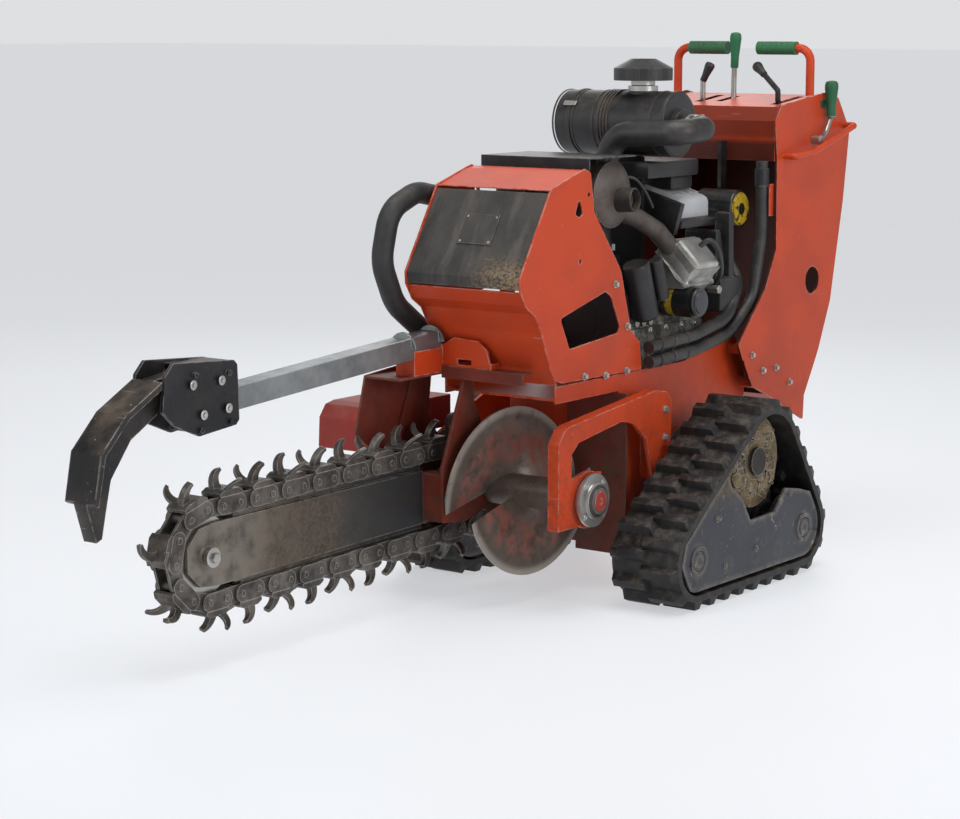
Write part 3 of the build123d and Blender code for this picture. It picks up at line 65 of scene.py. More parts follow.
class Recipe:
    """A material's node tree, written in a few words. Numbers that hold all over go on the shader itself."""

    def __init__(self, name, **sockets):
        self.material = bpy.data.materials.new(name)
        self.material.use_nodes = True
        self.tree = self.material.node_tree
        self.shader = self.tree.nodes["Principled BSDF"]
        here = self.add("TexCoord")
        self.place = here.outputs["Object"]
        self.facing = here.outputs["Normal"]
        for socket, value in sockets.items():
            self.feed(self.shader.inputs[socket.replace("_", " ")], value)

    def feed(self, socket, value):
        if isinstance(value, bpy.types.NodeSocket):
            self.tree.links.new(value, socket)
        else:
            socket.default_value = value

    def add(self, kind, inputs=None, **settings):
        node = self.tree.nodes.new("ShaderNode" + kind)
        for key, value in settings.items():
            setattr(node, key, value)
        for key, value in (inputs or {}).items():
            self.feed(node.inputs[key], value)
        return node

    def mapped(self, stretch, turn=(0, 0, 0)):
        """Object coordinates, turned and stretched."""
        return self.add("Mapping", {"Vector": self.place, "Scale": stretch, "Rotation": turn}).outputs["Vector"]

    def noise(self, scale, detail, rough=0.55, vector=None):
        return self.add("TexNoise", {"Vector": vector or self.place, "Scale": scale, "Detail": detail,
                                     "Roughness": rough}).outputs["Fac"]

    def band(self, value, low, high, start=0.0, end=1.0):
        """Value made to run from start at low to end at high, and held there."""
        return self.add("MapRange", {"Value": value, "From Min": low, "From Max": high, "To Min": start,
                                     "To Max": end}, interpolation_type="SMOOTHSTEP").outputs["Result"]

    def maths(self, operation, a, b=0.0):
        return self.add("Math", {0: a, 1: b}, operation=operation).outputs["Value"]

    def times(self, a, b):
        return self.maths("MULTIPLY", a, b)

    def larger(self, a, b):
        return self.maths("MAXIMUM", a, b)

    def mix(self, amount, a, b):
        """Colour a, with colour b over it by amount."""
        return self.add("Mix", {0: amount, 6: a, 7: b}, data_type="RGBA").outputs[2]

    def blend(self, amount, a, b):
        """Number a, with number b over it by amount."""
        return self.add("Mix", {0: amount, 2: a, 3: b}, data_type="FLOAT").outputs[0]

    def axis(self, vector, name):
        return self.add("SeparateXYZ", {0: vector}).outputs[name]

    def reach_from(self, y, z):
        """Distance from the line along X that passes through y and z."""
        dy = self.maths("SUBTRACT", self.axis(self.place, "Y"), y)
        dz = self.maths("SUBTRACT", self.axis(self.place, "Z"), z)
        return self.maths("SQRT", self.maths("ADD", self.times(dy, dy), self.times(dz, dz)))

    def edges(self, radius):
        """About 1 on a square edge, 0 further from it than radius."""
        soft = self.add("Bevel", {"Radius": radius}, samples=4).outputs["Normal"]
        true = self.add("NewGeometry").outputs["Normal"]
        dot = self.add("VectorMath", {0: soft, 1: true}, operation="DOT_PRODUCT").outputs["Value"]
        return self.times(self.maths("SUBTRACT", 1.0, dot), EDGE_GAIN)

    def strokes(self, length, width, share, turn=(0, 0, 0)):
        """Short thin marks that run along one turned axis, on a share of the places they could have."""
        vector = self.mapped((MARK_CELL / length, MARK_CELL / width, MARK_CELL / width), turn)
        node = self.add("TexVoronoi", {"Vector": vector, "Scale": 1.0})
        drawn = self.band(node.outputs["Distance"], 0.17, 0.1)
        chosen = self.maths("GREATER_THAN", self.axis(node.outputs["Color"], "X"), 1 - share)
        return self.times(drawn, chosen)

    def finish(self, colour, rough, height=None, strength=0.2, depth=0.001):
        self.feed(self.shader.inputs["Base Color"], colour)
        self.feed(self.shader.inputs["Roughness"], rough)
        if height is not None:
            bump = self.add("Bump", {"Height": height, "Strength": strength, "Distance": depth})
            self.feed(self.shader.inputs["Normal"], bump.outputs["Normal"])
        return self.material


DUST = tone(158, 138, 116)
MUD = tone(112, 88, 58)
SOIL = tone(74, 58, 44)
STEEL = tone(138, 134, 130)
PRIMER = tone(196, 170, 160)
RUST = tone(104, 56, 34)


ORANGE = tone(192, 64, 25)
FADED_ORANGE = tone(172, 58, 28)
PAINT_SHEEN = {"Coat_Weight": 0.03, "Coat_Roughness": 0.35, "Specular_IOR_Level": 0.24}
PAINT_RELIEF = (0.25, 0.0006)


def paint_layers(r, paint, faded, bare, chips, dust, gloss, grime, scratch):
    """Colour, roughness and height of worn paint: faded, chipped, scratched, dusty and spattered at the foot."""
    colour = r.mix(r.band(r.noise(5.0, 6), 0.35, 0.68), paint, faded)
    colour = r.mix(r.times(r.band(r.noise(2.2, 7, 0.7), 0.5, 0.75), 0.35), colour, faded)
    worn = r.times(r.edges(0.005), r.band(r.noise(46, 5), 0.34, 0.62))
    chipped = r.band(worn, 0.62 - chips * 0.45, 0.8 - chips * 0.42)
    spots = r.band(r.noise(95, 3), 0.74 - chips * 0.05, 0.79 - chips * 0.02)
    lines = r.larger(r.strokes(0.03, 0.0011, scratch, (0.4, 0.3, 0.9)),
                     r.strokes(0.05, 0.0008, scratch, (1.1, -0.5, 0.3)))
    marks = r.larger(r.times(lines, 0.75), r.times(spots, chips))
    marks = r.larger(marks, chipped)
    colour = r.mix(marks, colour, bare)
    top = r.band(r.axis(r.facing, "Z"), 0.1, 0.95, 0.25, 1.0)
    settled = r.times(r.times(top, r.band(r.noise(11, 7, 0.68), 0.36, 0.72)), dust)
    colour = r.mix(settled, colour, DUST)
    if grime:
        low = r.band(r.axis(r.place, "Z"), 0.62, 0.15)
        spatter = r.band(r.noise(38, 6, 0.7), 0.42, 0.66)
        colour = r.mix(r.times(r.times(low, spatter), grime), colour, SOIL)
    rough = r.blend(r.maths("ADD", settled, r.times(marks, 0.5)), gloss, 0.8)
    return colour, rough, r.maths("SUBTRACT", r.times(r.noise(160, 2), 0.12), marks)


def painted(name, paint, faded, bare, chips=0.5, dust=0.35, gloss=0.4, grime=0.0, scratch=0.03):
    """Paint on steel, worn all over alike."""
    r = Recipe(name, **PAINT_SHEEN)
    return r.finish(*paint_layers(r, paint, faded, bare, chips, dust, gloss, grime, scratch), *PAINT_RELIEF)


def console_paint_and_shade(name):
    """Orange outside, with painted shade where the console's sheets face the engine and a lighter painted shade on
    their upper forward faces.
    """
    r = Recipe(name, **PAINT_SHEEN)
    colour, rough, height = paint_layers(r, ORANGE, FADED_ORANGE, PRIMER, 0.5, 0.07, 0.42, 0.6, 0.05)
    forward = r.band(r.axis(r.facing, "Y"), -0.4, -0.8)
    towards_middle = r.times(r.maths("SIGN", r.axis(r.place, "X")), r.axis(r.facing, "X"))
    inward = r.band(towards_middle, -0.4, -0.8)
    below = r.band(r.axis(r.place, "Z"), 1.06, 1.03)
    # Painted shade: forward faces low in the bay and inward faces turn dark most, upper forward faces part way.
    bay_shade = r.times(r.larger(r.times(forward, below), inward), 0.86)
    front = r.times(r.times(forward, r.maths("SUBTRACT", 1.0, below)), 0.62)
    # tone(30, 20, 18) is the colour of the painted shade.
    return r.finish(r.mix(r.larger(bay_shade, front), colour, tone(30, 20, 18)), rough, height, *PAINT_RELIEF)


def metal(name, base, other, rust, rough=0.42, rusty=0.4, dirt=0.3, metallic=0.85, fine=60.0, dirt_colour=SOIL):
    """Bare steel or casting: stains, rust in its patches, dirt, and edges polished by wear."""
    r = Recipe(name, Metallic=metallic)
    colour = r.mix(r.band(r.noise(14, 6), 0.3, 0.7), base, other)
    patch = r.band(r.noise(8.5, 8, 0.66), 0.6 - rusty * 0.25, 0.72 - rusty * 0.12)
    colour = r.mix(r.times(patch, rusty), colour, rust)
    soiled = r.times(r.band(r.noise(21, 8, 0.7), 0.42, 0.68), dirt)
    colour = r.mix(soiled, colour, dirt_colour)
    bright = r.band(r.times(r.edges(0.0035), r.band(r.noise(52, 3), 0.25, 0.55)), 0.15, 0.5)
    colour = r.mix(r.times(bright, 0.8), colour, tone(186, 182, 176))
    sheen = r.blend(r.larger(r.times(patch, rusty), soiled), rough, 0.85)
    height = r.maths("ADD", r.noise(fine, 5, 0.6), r.times(soiled, 0.6))
    return r.finish(colour, sheen, height, 0.3, 0.0009)


def moulded(name, base, other, rough=0.5, dust=0.3, grain=260.0, depth=0.0004):
    """Plastic or rubber: fine grain, scuffs, and dust on what faces up."""
    r = Recipe(name)
    colour = r.mix(r.band(r.noise(9, 6), 0.35, 0.7), base, other)
    top = r.band(r.axis(r.facing, "Z"), -0.2, 0.9, 0.2, 1.0)
    settled = r.times(r.times(top, r.band(r.noise(17, 7, 0.7), 0.4, 0.75)), dust)
    colour = r.mix(settled, colour, DUST)
    rubbed = r.times(r.band(r.edges(0.003), 0.2, 0.7), 0.35)
    colour = r.mix(rubbed, colour, DUST)
    return r.finish(colour, r.blend(settled, rough, 0.9), r.noise(grain, 3), 0.3, depth)


RETURN_FILTER = (0.7932, 0.874)     # y and z of its middle line
RETURN_FILTER_END = 0.1405          # where its printed end face begins along X


def banded_can(name, base, mark, low, high):
    """Black canisters: a plain printed band between two places along X, and a printed ring on the upper one's end."""
    r = Recipe(name, Coat_Weight=0.3)
    x, z = r.axis(r.place, "X"), r.axis(r.place, "Z")
    inside = r.times(r.maths("GREATER_THAN", x, low), r.maths("LESS_THAN", x, high))
    inside = r.times(inside, r.maths("LESS_THAN", z, 0.75))
    reach = r.reach_from(*RETURN_FILTER)
    ring = r.times(r.maths("GREATER_THAN", reach, 0.015), r.maths("LESS_THAN", reach, 0.041))
    face = r.times(r.maths("GREATER_THAN", x, RETURN_FILTER_END), r.maths("GREATER_THAN", z, 0.8))
    inside = r.larger(inside, r.times(ring, face))
    rubbed = r.band(r.noise(70, 4), 0.34, 0.5)
    colour = r.mix(r.times(inside, rubbed), base, mark)
    soiled = r.times(r.band(r.noise(24, 7, 0.7), 0.45, 0.75), 0.5)
    colour = r.mix(soiled, colour, SOIL)
    return r.finish(colour, r.blend(soiled, 0.3, 0.8), r.noise(120, 3), 0.12, 0.0004)


def hood_dust(name):
    """Charcoal paint under a coat of dust, with a patch of straw in the lower right of the front sheet."""
    r = Recipe(name, Specular_IOR_Level=0.3)
    colour = r.mix(r.band(r.noise(6, 7, 0.65), 0.35, 0.7), tone(50, 49, 49), tone(72, 69, 66))
    streaks = r.band(r.noise(9, 5, 0.6, r.mapped((3.0, 1.0, 0.5))), 0.45, 0.75)
    colour = r.mix(r.times(streaks, 0.45), colour, tone(112, 106, 100))
    x, z = r.axis(r.place, "X"), r.axis(r.place, "Z")
    corner = r.times(r.band(x, -0.02, 0.12), r.band(z, 0.84, 0.77))
    straw = r.times(corner, r.band(r.noise(150, 6, 0.75), 0.42, 0.58))
    colour = r.mix(r.times(straw, 0.85), colour, tone(150, 126, 92))
    rim = r.band(r.times(r.edges(0.004), r.band(r.noise(50, 4), 0.3, 0.6)), 0.3, 0.7)
    colour = r.mix(r.times(rim, 0.7), colour, tone(150, 146, 142))
    marks = r.strokes(0.04, 0.001, 0.03, (0.2, 0.8, 1.2))
    colour = r.mix(r.times(marks, 0.6), colour, tone(160, 156, 150))
    return r.finish(colour, 0.62, r.maths("ADD", straw, r.noise(120, 3)), 0.3, 0.0008)


def track_plate(name):
    """Slate paint scuffed to a pale rim, with caked soil towards the sprocket."""
    r = Recipe(name, Specular_IOR_Level=0.35)
    colour = r.mix(r.band(r.noise(5, 6), 0.35, 0.7), tone(38, 41, 50), tone(52, 54, 60))
    rim = r.band(r.times(r.edges(0.022), r.band(r.noise(60, 7, 0.7), 0.34, 0.6)), 0.05, 0.5)
    colour = r.mix(r.times(rim, 0.75), colour, tone(132, 122, 112))
    lines = r.larger(r.strokes(0.03, 0.0018, 0.05, (0.9, 0.2, 0.3)),
                     r.strokes(0.045, 0.0014, 0.04, (2.1, 0.3, 0)))
    patch = r.band(r.noise(30, 7, 0.75), 0.6, 0.68)
    marks = r.larger(lines, r.times(patch, 0.8))
    colour = r.mix(marks, colour, tone(158, 150, 140))
    z = r.axis(r.place, "Z")
    soil = r.times(r.band(z, 0.2, 0.31), r.band(r.noise(40, 6, 0.7), 0.4, 0.56))
    colour = r.mix(r.times(soil, 0.8), colour, tone(116, 98, 66))
    rough = r.blend(r.larger(marks, soil), 0.42, 0.8)
    return r.finish(colour, rough, r.maths("SUBTRACT", soil, marks), 0.3, 0.001)


def track_tread(name):
    """Black rubber, dull brown where soil has dried on the crests of the lugs."""
    r = Recipe(name, Specular_IOR_Level=0.35)
    colour = r.mix(r.band(r.noise(12, 6), 0.35, 0.7), tone(20, 20, 22), tone(32, 31, 32))
    crest = r.band(r.edges(0.012), 0.05, 0.5)
    powder = r.times(r.band(r.noise(34, 7, 0.72), 0.42, 0.68), 0.4)
    top = r.band(r.axis(r.facing, "Z"), -0.3, 0.8, 0.25, 1.0)
    settled = r.times(powder, r.larger(r.times(crest, 0.8), top))
    colour = r.mix(settled, colour, tone(122, 110, 96))
    return r.finish(colour, r.blend(settled, 0.5, 0.95), r.noise(210, 4), 0.35, 0.0007)


def boom_side(name):
    """Dirty steel: paler towards the nose, straw and rust in the middle, dark oil near the machine."""
    r = Recipe(name, Metallic=0.35)
    y = r.axis(r.place, "Y")
    shade = r.mix(r.band(y, -0.85, -0.55), tone(122, 114, 104), tone(66, 62, 58))
    shade = r.mix(r.band(y, -0.5, -0.25), shade, tone(44, 45, 48))
    colour = r.mix(r.band(r.noise(16, 7, 0.65), 0.4, 0.75), shade, tone(52, 48, 44))
    middle = r.times(r.band(y, -0.8, -0.68), r.band(y, -0.42, -0.52))
    straw = r.times(middle, r.band(r.noise(140, 8, 0.8), 0.45, 0.62))
    colour = r.mix(r.times(straw, 0.5), colour, tone(140, 112, 84))
    lines = r.larger(r.strokes(0.07, 0.0012, 0.06, (0.35, 0, 1.5)),
                     r.strokes(0.05, 0.001, 0.05, (2.4, 0, 1.5)))
    colour = r.mix(r.times(lines, 0.7), colour, tone(170, 164, 156))
    rim = r.band(r.times(r.edges(0.005), r.band(r.noise(45, 4), 0.3, 0.6)), 0.2, 0.55)
    colour = r.mix(r.times(rim, 0.7), colour, tone(176, 168, 158))
    return r.finish(colour, r.blend(straw, 0.5, 0.9), r.maths("ADD", straw, r.noise(60, 5)), 0.3, 0.0009)


def auger_face(name):
    """Worn auger steel, its rim bright and its middle red with rust and old paint."""
    r = Recipe(name, Metallic=0.45)
    reach = r.reach_from(SHAFT.y, SHAFT.z)
    colour = r.mix(r.band(r.noise(9, 7, 0.65), 0.35, 0.7), tone(116, 104, 96), tone(88, 76, 70))
    ring = r.times(r.band(reach, 0.05, 0.09), r.band(reach, 0.17, 0.13))
    red = r.times(ring, r.band(r.noise(26, 8, 0.75), 0.4, 0.6))
    colour = r.mix(r.times(red, 0.8), colour, tone(160, 92, 78))
    bright = r.band(reach, 0.172, 0.19)
    colour = r.mix(r.times(bright, 0.8), colour, tone(178, 170, 160))
    soil = r.times(r.band(r.noise(18, 7, 0.7), 0.5, 0.72), 0.6)
    colour = r.mix(soil, colour, tone(70, 58, 50))
    rough = r.blend(r.larger(red, soil), 0.38, 0.85)
    return r.finish(colour, rough, r.maths("ADD", red, r.noise(70, 5)), 0.25, 0.0008)


def crankcase_metal(name):
    """Cast aluminium, painted black above the crankcase, with a wet dark foot."""
    r = Recipe(name, Metallic=0.55)
    z = r.axis(r.place, "Z")
    colour = r.mix(r.band(r.noise(14, 6), 0.3, 0.7), tone(168, 166, 160), tone(120, 117, 110))
    grime = r.times(r.band(r.noise(24, 8, 0.72), 0.42, 0.6), 0.85)
    colour = r.mix(grime, colour, tone(58, 52, 46))
    black = r.band(z, 0.682, 0.69)
    colour = r.mix(black, colour, tone(24, 24, 26))
    return r.finish(colour, r.blend(r.larger(grime, black), 0.42, 0.7), r.noise(95, 5), 0.4, 0.001)


def finishes():
    """Every material slot of the record, by name, and a few finer finishes that ride in those slots."""
    black = tone(24, 25, 27)
    return {
        "orange_paint": painted("orange_paint", ORANGE, FADED_ORANGE, PRIMER, 0.5, 0.07, 0.42, 0.6, 0.04),
        # Painted shade: the worn_orange slot wears a darker copy of the orange, the maroon of orange paint in shadow,
        # with heavier chips, dust and grime as real wear.
        "worn_orange": painted("worn_orange", tone(112, 38, 27), tone(84, 36, 29), tone(112, 78, 64), 0.8, 0.35,
                               0.55, 0.8, 0.06),
        "charcoal_paint": hood_dust("charcoal_paint"),
        "red_guard": painted("red_guard", tone(156, 52, 46), tone(132, 48, 42), PRIMER, 0.5, 0.3, 0.5),
        "black_plastic": moulded("black_plastic", black, tone(38, 39, 42), 0.42, 0.2),
        "green_grip": moulded("green_grip", tone(20, 104, 62), tone(14, 84, 48), 0.5, 0.1),
        "cast_aluminium": metal("cast_aluminium", tone(182, 182, 178), tone(150, 148, 144), tone(120, 112, 98),
                                0.45, 0.25, 0.3, 0.7, 110.0),
        "crankcase": crankcase_metal("crankcase"),
        "console_paint_and_shade": console_paint_and_shade("console_paint_and_shade"),
        "valve_cover_metal": metal("valve_cover_metal", tone(196, 196, 192), tone(168, 166, 162), tone(110, 92, 74),
                                   0.4, 0.2, 0.25, 0.75, 150.0),
        "hydraulic_cap": moulded("hydraulic_cap", tone(40, 43, 50), tone(54, 57, 64), 0.35, 0.15),
        "soot": moulded("soot", tone(20, 19, 19), tone(34, 31, 30), 0.75, 0.2),
        "green_plate": moulded("green_plate", tone(16, 62, 44), tone(22, 72, 52), 0.45, 0.1),
        "cover_grey": moulded("cover_grey", tone(178, 180, 184), tone(158, 160, 164), 0.5, 0.3, 120.0),
        "cast_iron": metal("cast_iron", tone(60, 58, 56), tone(44, 42, 40), RUST, 0.6, 0.2, 0.3, 0.4, 120.0),
        "filter_can": banded_can("filter_can", black, tone(176, 146, 34), 0.124, 0.144),
        "hot_steel": metal("hot_steel", tone(98, 90, 86), tone(76, 68, 64), tone(96, 70, 56), 0.5, 0.3, 0.4, 0.5),
        "claw_steel": painted("claw_steel", tone(28, 28, 31), tone(50, 48, 46), tone(168, 162, 154), 1.0, 0.3,
                              0.36, 0.0, 0.08),
        "black_steel": painted("black_steel", tone(27, 28, 32), tone(40, 41, 46), STEEL, 0.5, 0.2, 0.4, 0.0, 0.04),
        "hose_rubber": moulded("hose_rubber", tone(30, 30, 32), tone(46, 45, 46), 0.45, 0.25, 130.0, 0.0015),
        "hose_sleeve": moulded("hose_sleeve", tone(22, 22, 24), tone(40, 39, 41), 0.6, 0.15, 75.0, 0.006),
        "zinc_steel": metal("zinc_steel", tone(196, 196, 194), tone(170, 168, 164), RUST, 0.35, 0.08, 0.12),
        "track_rubber": track_tread("track_rubber"),
        "slate_steel": track_plate("slate_steel"),
        "boom_steel": boom_side("boom_steel"),
        "chain_steel": metal("chain_steel", tone(112, 106, 100), tone(66, 62, 59), tone(92, 72, 56), 0.42, 0.22, 0.6,
                             0.6, 70.0, tone(42, 37, 33)),
        "galvanised": metal("galvanised", tone(146, 150, 151), tone(118, 124, 127), tone(126, 104, 84), 0.42, 0.1,
                            0.15, 0.7, 40.0),
        "bright_steel": metal("bright_steel", tone(182, 180, 176), tone(150, 147, 142), RUST, 0.3, 0.1, 0.15),
        "auger_steel": auger_face("auger_steel"),
        "muddy_steel": metal("muddy_steel", tone(104, 90, 66), tone(58, 50, 40), MUD, 0.9, 0.7, 0.6, 0.0, 50.0,
                             tone(150, 134, 98)),
    }


def middle(node):
    low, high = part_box(node)
    return (Vector(low) + Vector(high)) / 2


SHAFT = middle("headshaft")
FINISH = finishes()
SLOT_OF = {part["node"]: part["material_slot"] for part in frame["record"]["subparts"]}
BODY_OF = {node: body for body, held in frame["record"]["behaviour"]["bodies"].items() for node in held}


# ---------------------------------------------------------------- mesh kit
WELD = 0.00001
BROAD = 0.003                  # square metres from which a face stays flat
CREASE = math.radians(28)
FLAT = math.radians(0.5)
CURVE_STEPS = 10


def piece(name, bm, slot, body, replaced=()):
    """Turns a bmesh into an object that rides on a body and wears a slot's finish."""
    data = bpy.data.meshes.new(name)
    bm.to_mesh(data)
    bm.free()
    made = bpy.data.objects.new(name, data)
    bpy.context.scene.collection.objects.link(made)
    data.materials.append(FINISH[slot])
    data.shade_smooth()
    data.set_sharp_from_angle(angle=CREASE)
    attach(made, body)
    if replaced:
        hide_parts(*replaced)
    return made


def joined(node):
    """A bmesh of a CAD node with its loose triangles merged into whole faces."""
    bm = bmesh.new()
    bm.from_mesh(NODES[node].data)
    bmesh.ops.remove_doubles(bm, verts=bm.verts, dist=WELD)
    bmesh.ops.dissolve_limit(bm, angle_limit=FLAT, verts=bm.verts, edges=bm.edges)
    return bm


def rounded(node, width, segments=2):
    """The node with its square edges rounded."""
    bm = joined(node)
    sharp = [e for e in bm.edges if len(e.link_faces) == 2 and e.calc_face_angle(0.0) > CREASE]
    bmesh.ops.bevel(bm, geom=sharp, offset=width, offset_type="OFFSET", segments=segments, profile=0.5,
                    affect="EDGES", clamp_overlap=True, material=-1)
    return piece(node + "_worn", bm, SLOT_OF[node], BODY_OF[node], (node,))


ROUNDING = {
    "main_frame": 0.0012, "hood_side_right": 0.001, "hood_side_left": 0.001, "hood_top": 0.001,
    "hood_front_panel": 0.001, "hood_lower_panel": 0.001, "badge_plate": 0.001, "console_sides": 0.001,
    "console_cover": 0.001, "head_brackets": 0.002, "apron": 0.001, "left_fender": 0.003, "boom_frame": 0.001,
    "boom_guard": 0.001, "boom_bar": 0.0015, "crumber_bracket": 0.0015, "crumber_bar": 0.002,
    "crumber_head": 0.001, "crumber_shoe": 0.003, "track_frame_right": 0.0015, "track_frame_left": 0.0015,
    "track_belt_right": 0.003, "track_belt_left": 0.003, "chain_cutters": 0.0012, "engine_block": 0.001,
    "cylinder_heads": 0.001, "blower_housing": 0.002, "heat_shield": 0.0008,
}

# Nodes that wear a finer finish than their slot's own.
OWN_FINISH = {"engine_block": "crankcase", "console_cover": "console_paint_and_shade", "console_sides": "console_paint_and_shade",
              "crumber_shoe": "claw_steel"}


def finish_nodes():
    """Rounded copies of the plates and castings; the other nodes only get their finish."""
    for node, held in NODES.items():
        held.data.materials.clear()
        held.data.materials.append(FINISH[OWN_FINISH.get(node, SLOT_OF[node])])
        if node in ROUNDING:
            made = rounded(node, ROUNDING[node])
            for face in made.data.polygons:
                face.use_smooth = face.area < BROAD
            made.data.materials[0] = held.data.materials[0]


# ---------------------------------------------------------------- shapes for the details
X, Y, Z = Vector((1, 0, 0)), Vector((0, 1, 0)), Vector((0, 0, 1))


def around(angle):
    """Unit vector square to X, at an angle from Y towards Z."""
    return Vector((0, math.cos(angle), math.sin(angle)))


def turned(bm, profile, centre, axis=X, steps=40):
    """Spins a profile of (reach, along) pairs round an axis through centre."""
    out = axis.orthogonal().normalized()
    before = set(bm.verts)
    verts = [bm.verts.new(Vector(centre) + axis * along + out * reach) for reach, along in profile]
    edges = [bm.edges.new(pair) for pair in zip(verts, verts[1:])]
    bmesh.ops.spin(bm, geom=verts + edges, cent=centre, axis=axis, dvec=(0, 0, 0), angle=math.tau, steps=steps,
                   use_merge=True, use_duplicate=False)
    new = [v for v in bm.verts if v not in before]
    bmesh.ops.remove_doubles(bm, verts=new, dist=WELD)
    faces = [f for f in bm.faces if f.verts[0] not in before]
    bmesh.ops.recalc_face_normals(bm, faces=faces)


def slab(bm, low, high, bevel=0.003, segments=2, turn=None, taper=1.0):
    """Box between two corners with rounded edges, its top drawn in by taper and the whole turned."""
    low, high = Vector(low), Vector(high)
    made = bmesh.ops.create_cube(bm, size=1.0)["verts"]
    for v in made:
        if v.co.z > 0:
            v.co.x *= taper
            v.co.y *= taper
    bmesh.ops.scale(bm, vec=high - low, verts=made)
    edges = list({e for v in made for e in v.link_edges})
    faces = bmesh.ops.bevel(bm, geom=edges, offset=bevel, offset_type="OFFSET", segments=segments, profile=0.5,
                            affect="EDGES", clamp_overlap=True, material=-1)["faces"]
    verts = list({v for f in faces for v in f.verts})
    if turn is not None:
        bmesh.ops.rotate(bm, cent=(0, 0, 0), matrix=turn, verts=verts)
    bmesh.ops.translate(bm, vec=(low + high) / 2, verts=verts)


def block(bm, centre, half, bevel=0.003, segments=2, turn=None, taper=1.0):
    """Slab given by its middle and half its size."""
    slab(bm, centre - Vector(half), centre + Vector(half), bevel, segments, turn, taper)


def disc(bm, place, axis, reach, low, high, steps):
    """Plain round disc or stub that runs from low to high along axis."""
    turned(bm, [(0, low), (reach, low), (reach, high), (0, high)], place, axis, steps)


def bolt(bm, place, axis, reach):
    """Six-sided bolt head with a dished washer, seated at place and facing along axis."""
    turn = Z.rotation_difference(axis).to_matrix().to_4x4()
    turned(bm, [(0, 0.0), (reach * 1.7, 0.0), (reach * 1.7, 0.0012), (reach * 1.5, 0.0018), (0, 0.0018)], place,
           axis, 20)
    centre = Vector(place) + axis * reach * 0.5
    head = bmesh.ops.create_cone(bm, cap_ends=True, segments=6, radius1=reach, radius2=reach * 0.9,
                                 depth=reach * 0.8, matrix=Matrix.Translation(centre) @ turn)["verts"]
    rim = [e for v in head for e in v.link_edges if all((w.co - centre).dot(axis) > 0 for w in e.verts)]
    bmesh.ops.bevel(bm, geom=list(set(rim)), offset=reach * 0.12, offset_type="OFFSET", segments=1, profile=0.5,
                    affect="EDGES", clamp_overlap=True, material=-1)


def bolts(name, places, slot="zinc_steel", body="chassis"):
    """One piece of several bolts, each given as (place, axis, size)."""
    bm = bmesh.new()
    for place, axis, reach in places:
        bolt(bm, place, axis, reach)
    return piece(name, bm, slot, body)


def run(points, radius, sides=5):
    """A smooth round bar along a few points, as a bmesh."""
    data = bpy.data.curves.new("run", "CURVE")
    data.dimensions = "3D"
    spline = data.splines.new("NURBS")
    spline.points.add(len(points) - 1)
    for point, place in zip(spline.points, points):
        point.co = (*place, 1.0)
    spline.order_u = 3
    spline.use_endpoint_u = True
    spline.resolution_u = CURVE_STEPS
    data.bevel_depth = radius
    data.bevel_resolution = sides
    data.use_fill_caps = True
    held = bpy.data.objects.new("run", data)
    mesh = bpy.data.meshes.new_from_object(held)
    bm = bmesh.new()
    bm.from_mesh(mesh)
    bmesh.ops.remove_doubles(bm, verts=bm.verts, dist=WELD)
    bpy.data.objects.remove(held)
    bpy.data.curves.remove(data)
    return bm


def part_of(node, place, normal):
    """The share of a node on the side of a plane that its normal points to, closed at the cut."""
    bm = joined(node)
    geom = bm.verts[:] + bm.edges[:] + bm.faces[:]
    cut = bmesh.ops.bisect_plane(bm, geom=geom, plane_co=place, plane_no=normal, clear_inner=True)["geom_cut"]
    bmesh.ops.holes_fill(bm, edges=[e for e in cut if isinstance(e, bmesh.types.BMEdge)])
    return bm


# ---------------------------------------------------------------- levers
# Per lever: foot, tip, the knob's radius, its length and its slot, and the rod's slot.
LEVERS = {
    "lever_left": ((-0.076, 0.9622, 1.185), (-0.055, 0.9672, 1.232), 0.013, 0.052, "black_plastic", "bright_steel"),
    "lever_centre": ((-0.021, 1.0252, 1.185), (-0.018, 1.0272, 1.310), 0.015, 0.092, "green_grip", "bright_steel"),
    "lever_right": ((0.160, 0.9392, 1.165), (0.050, 1.0172, 1.226), 0.0135, 0.056, "black_plastic", "black_steel"),
}
KNOB_COVER = 0.96              # share of a knob that hides the rod's cut end
SIDE_TIP = (0.228, 1.095, 1.188)


def knob(name, tip, axis, reach, length, slot, body):
    """Tapered hand knob whose domed end is at tip, along axis."""
    profile = [(0, -length), (reach * 0.62, -length), (reach * 0.68, -length + 0.003), (reach * 0.7, -length * 0.7),
               (reach * 0.92, -length * 0.32), (reach, -length * 0.2), (reach * 0.97, -length * 0.1),
               (reach * 0.8, -length * 0.03), (reach * 0.45, -0.0006), (0, 0.0)]
    bm = bmesh.new()
    turned(bm, profile, tip, axis, 28)
    return piece(name, bm, slot, body)


def levers():
    """Steel rods with their own knobs in place of the plain levers."""
    for node, (foot, tip, reach, length, slot, rod_slot) in LEVERS.items():
        body = BODY_OF[node]
        tip = Vector(tip)
        axis = (tip - Vector(foot)).normalized()
        bm = part_of(node, tip - axis * (length * KNOB_COVER), -axis)
        piece(node + "_rod", bm, rod_slot, body, (node,))
        knob(node + "_knob", tip, axis, reach, length, slot, body)
    body = BODY_OF["lever_side"]
    bm = part_of("lever_side", (0.228, 1.095, 1.097), (0, 0, -1))
    piece("lever_side_rod", bm, "bright_steel", body, ("lever_side",))
    knob("lever_side_knob", SIDE_TIP, Z, 0.0175, 0.094, "green_grip", body)


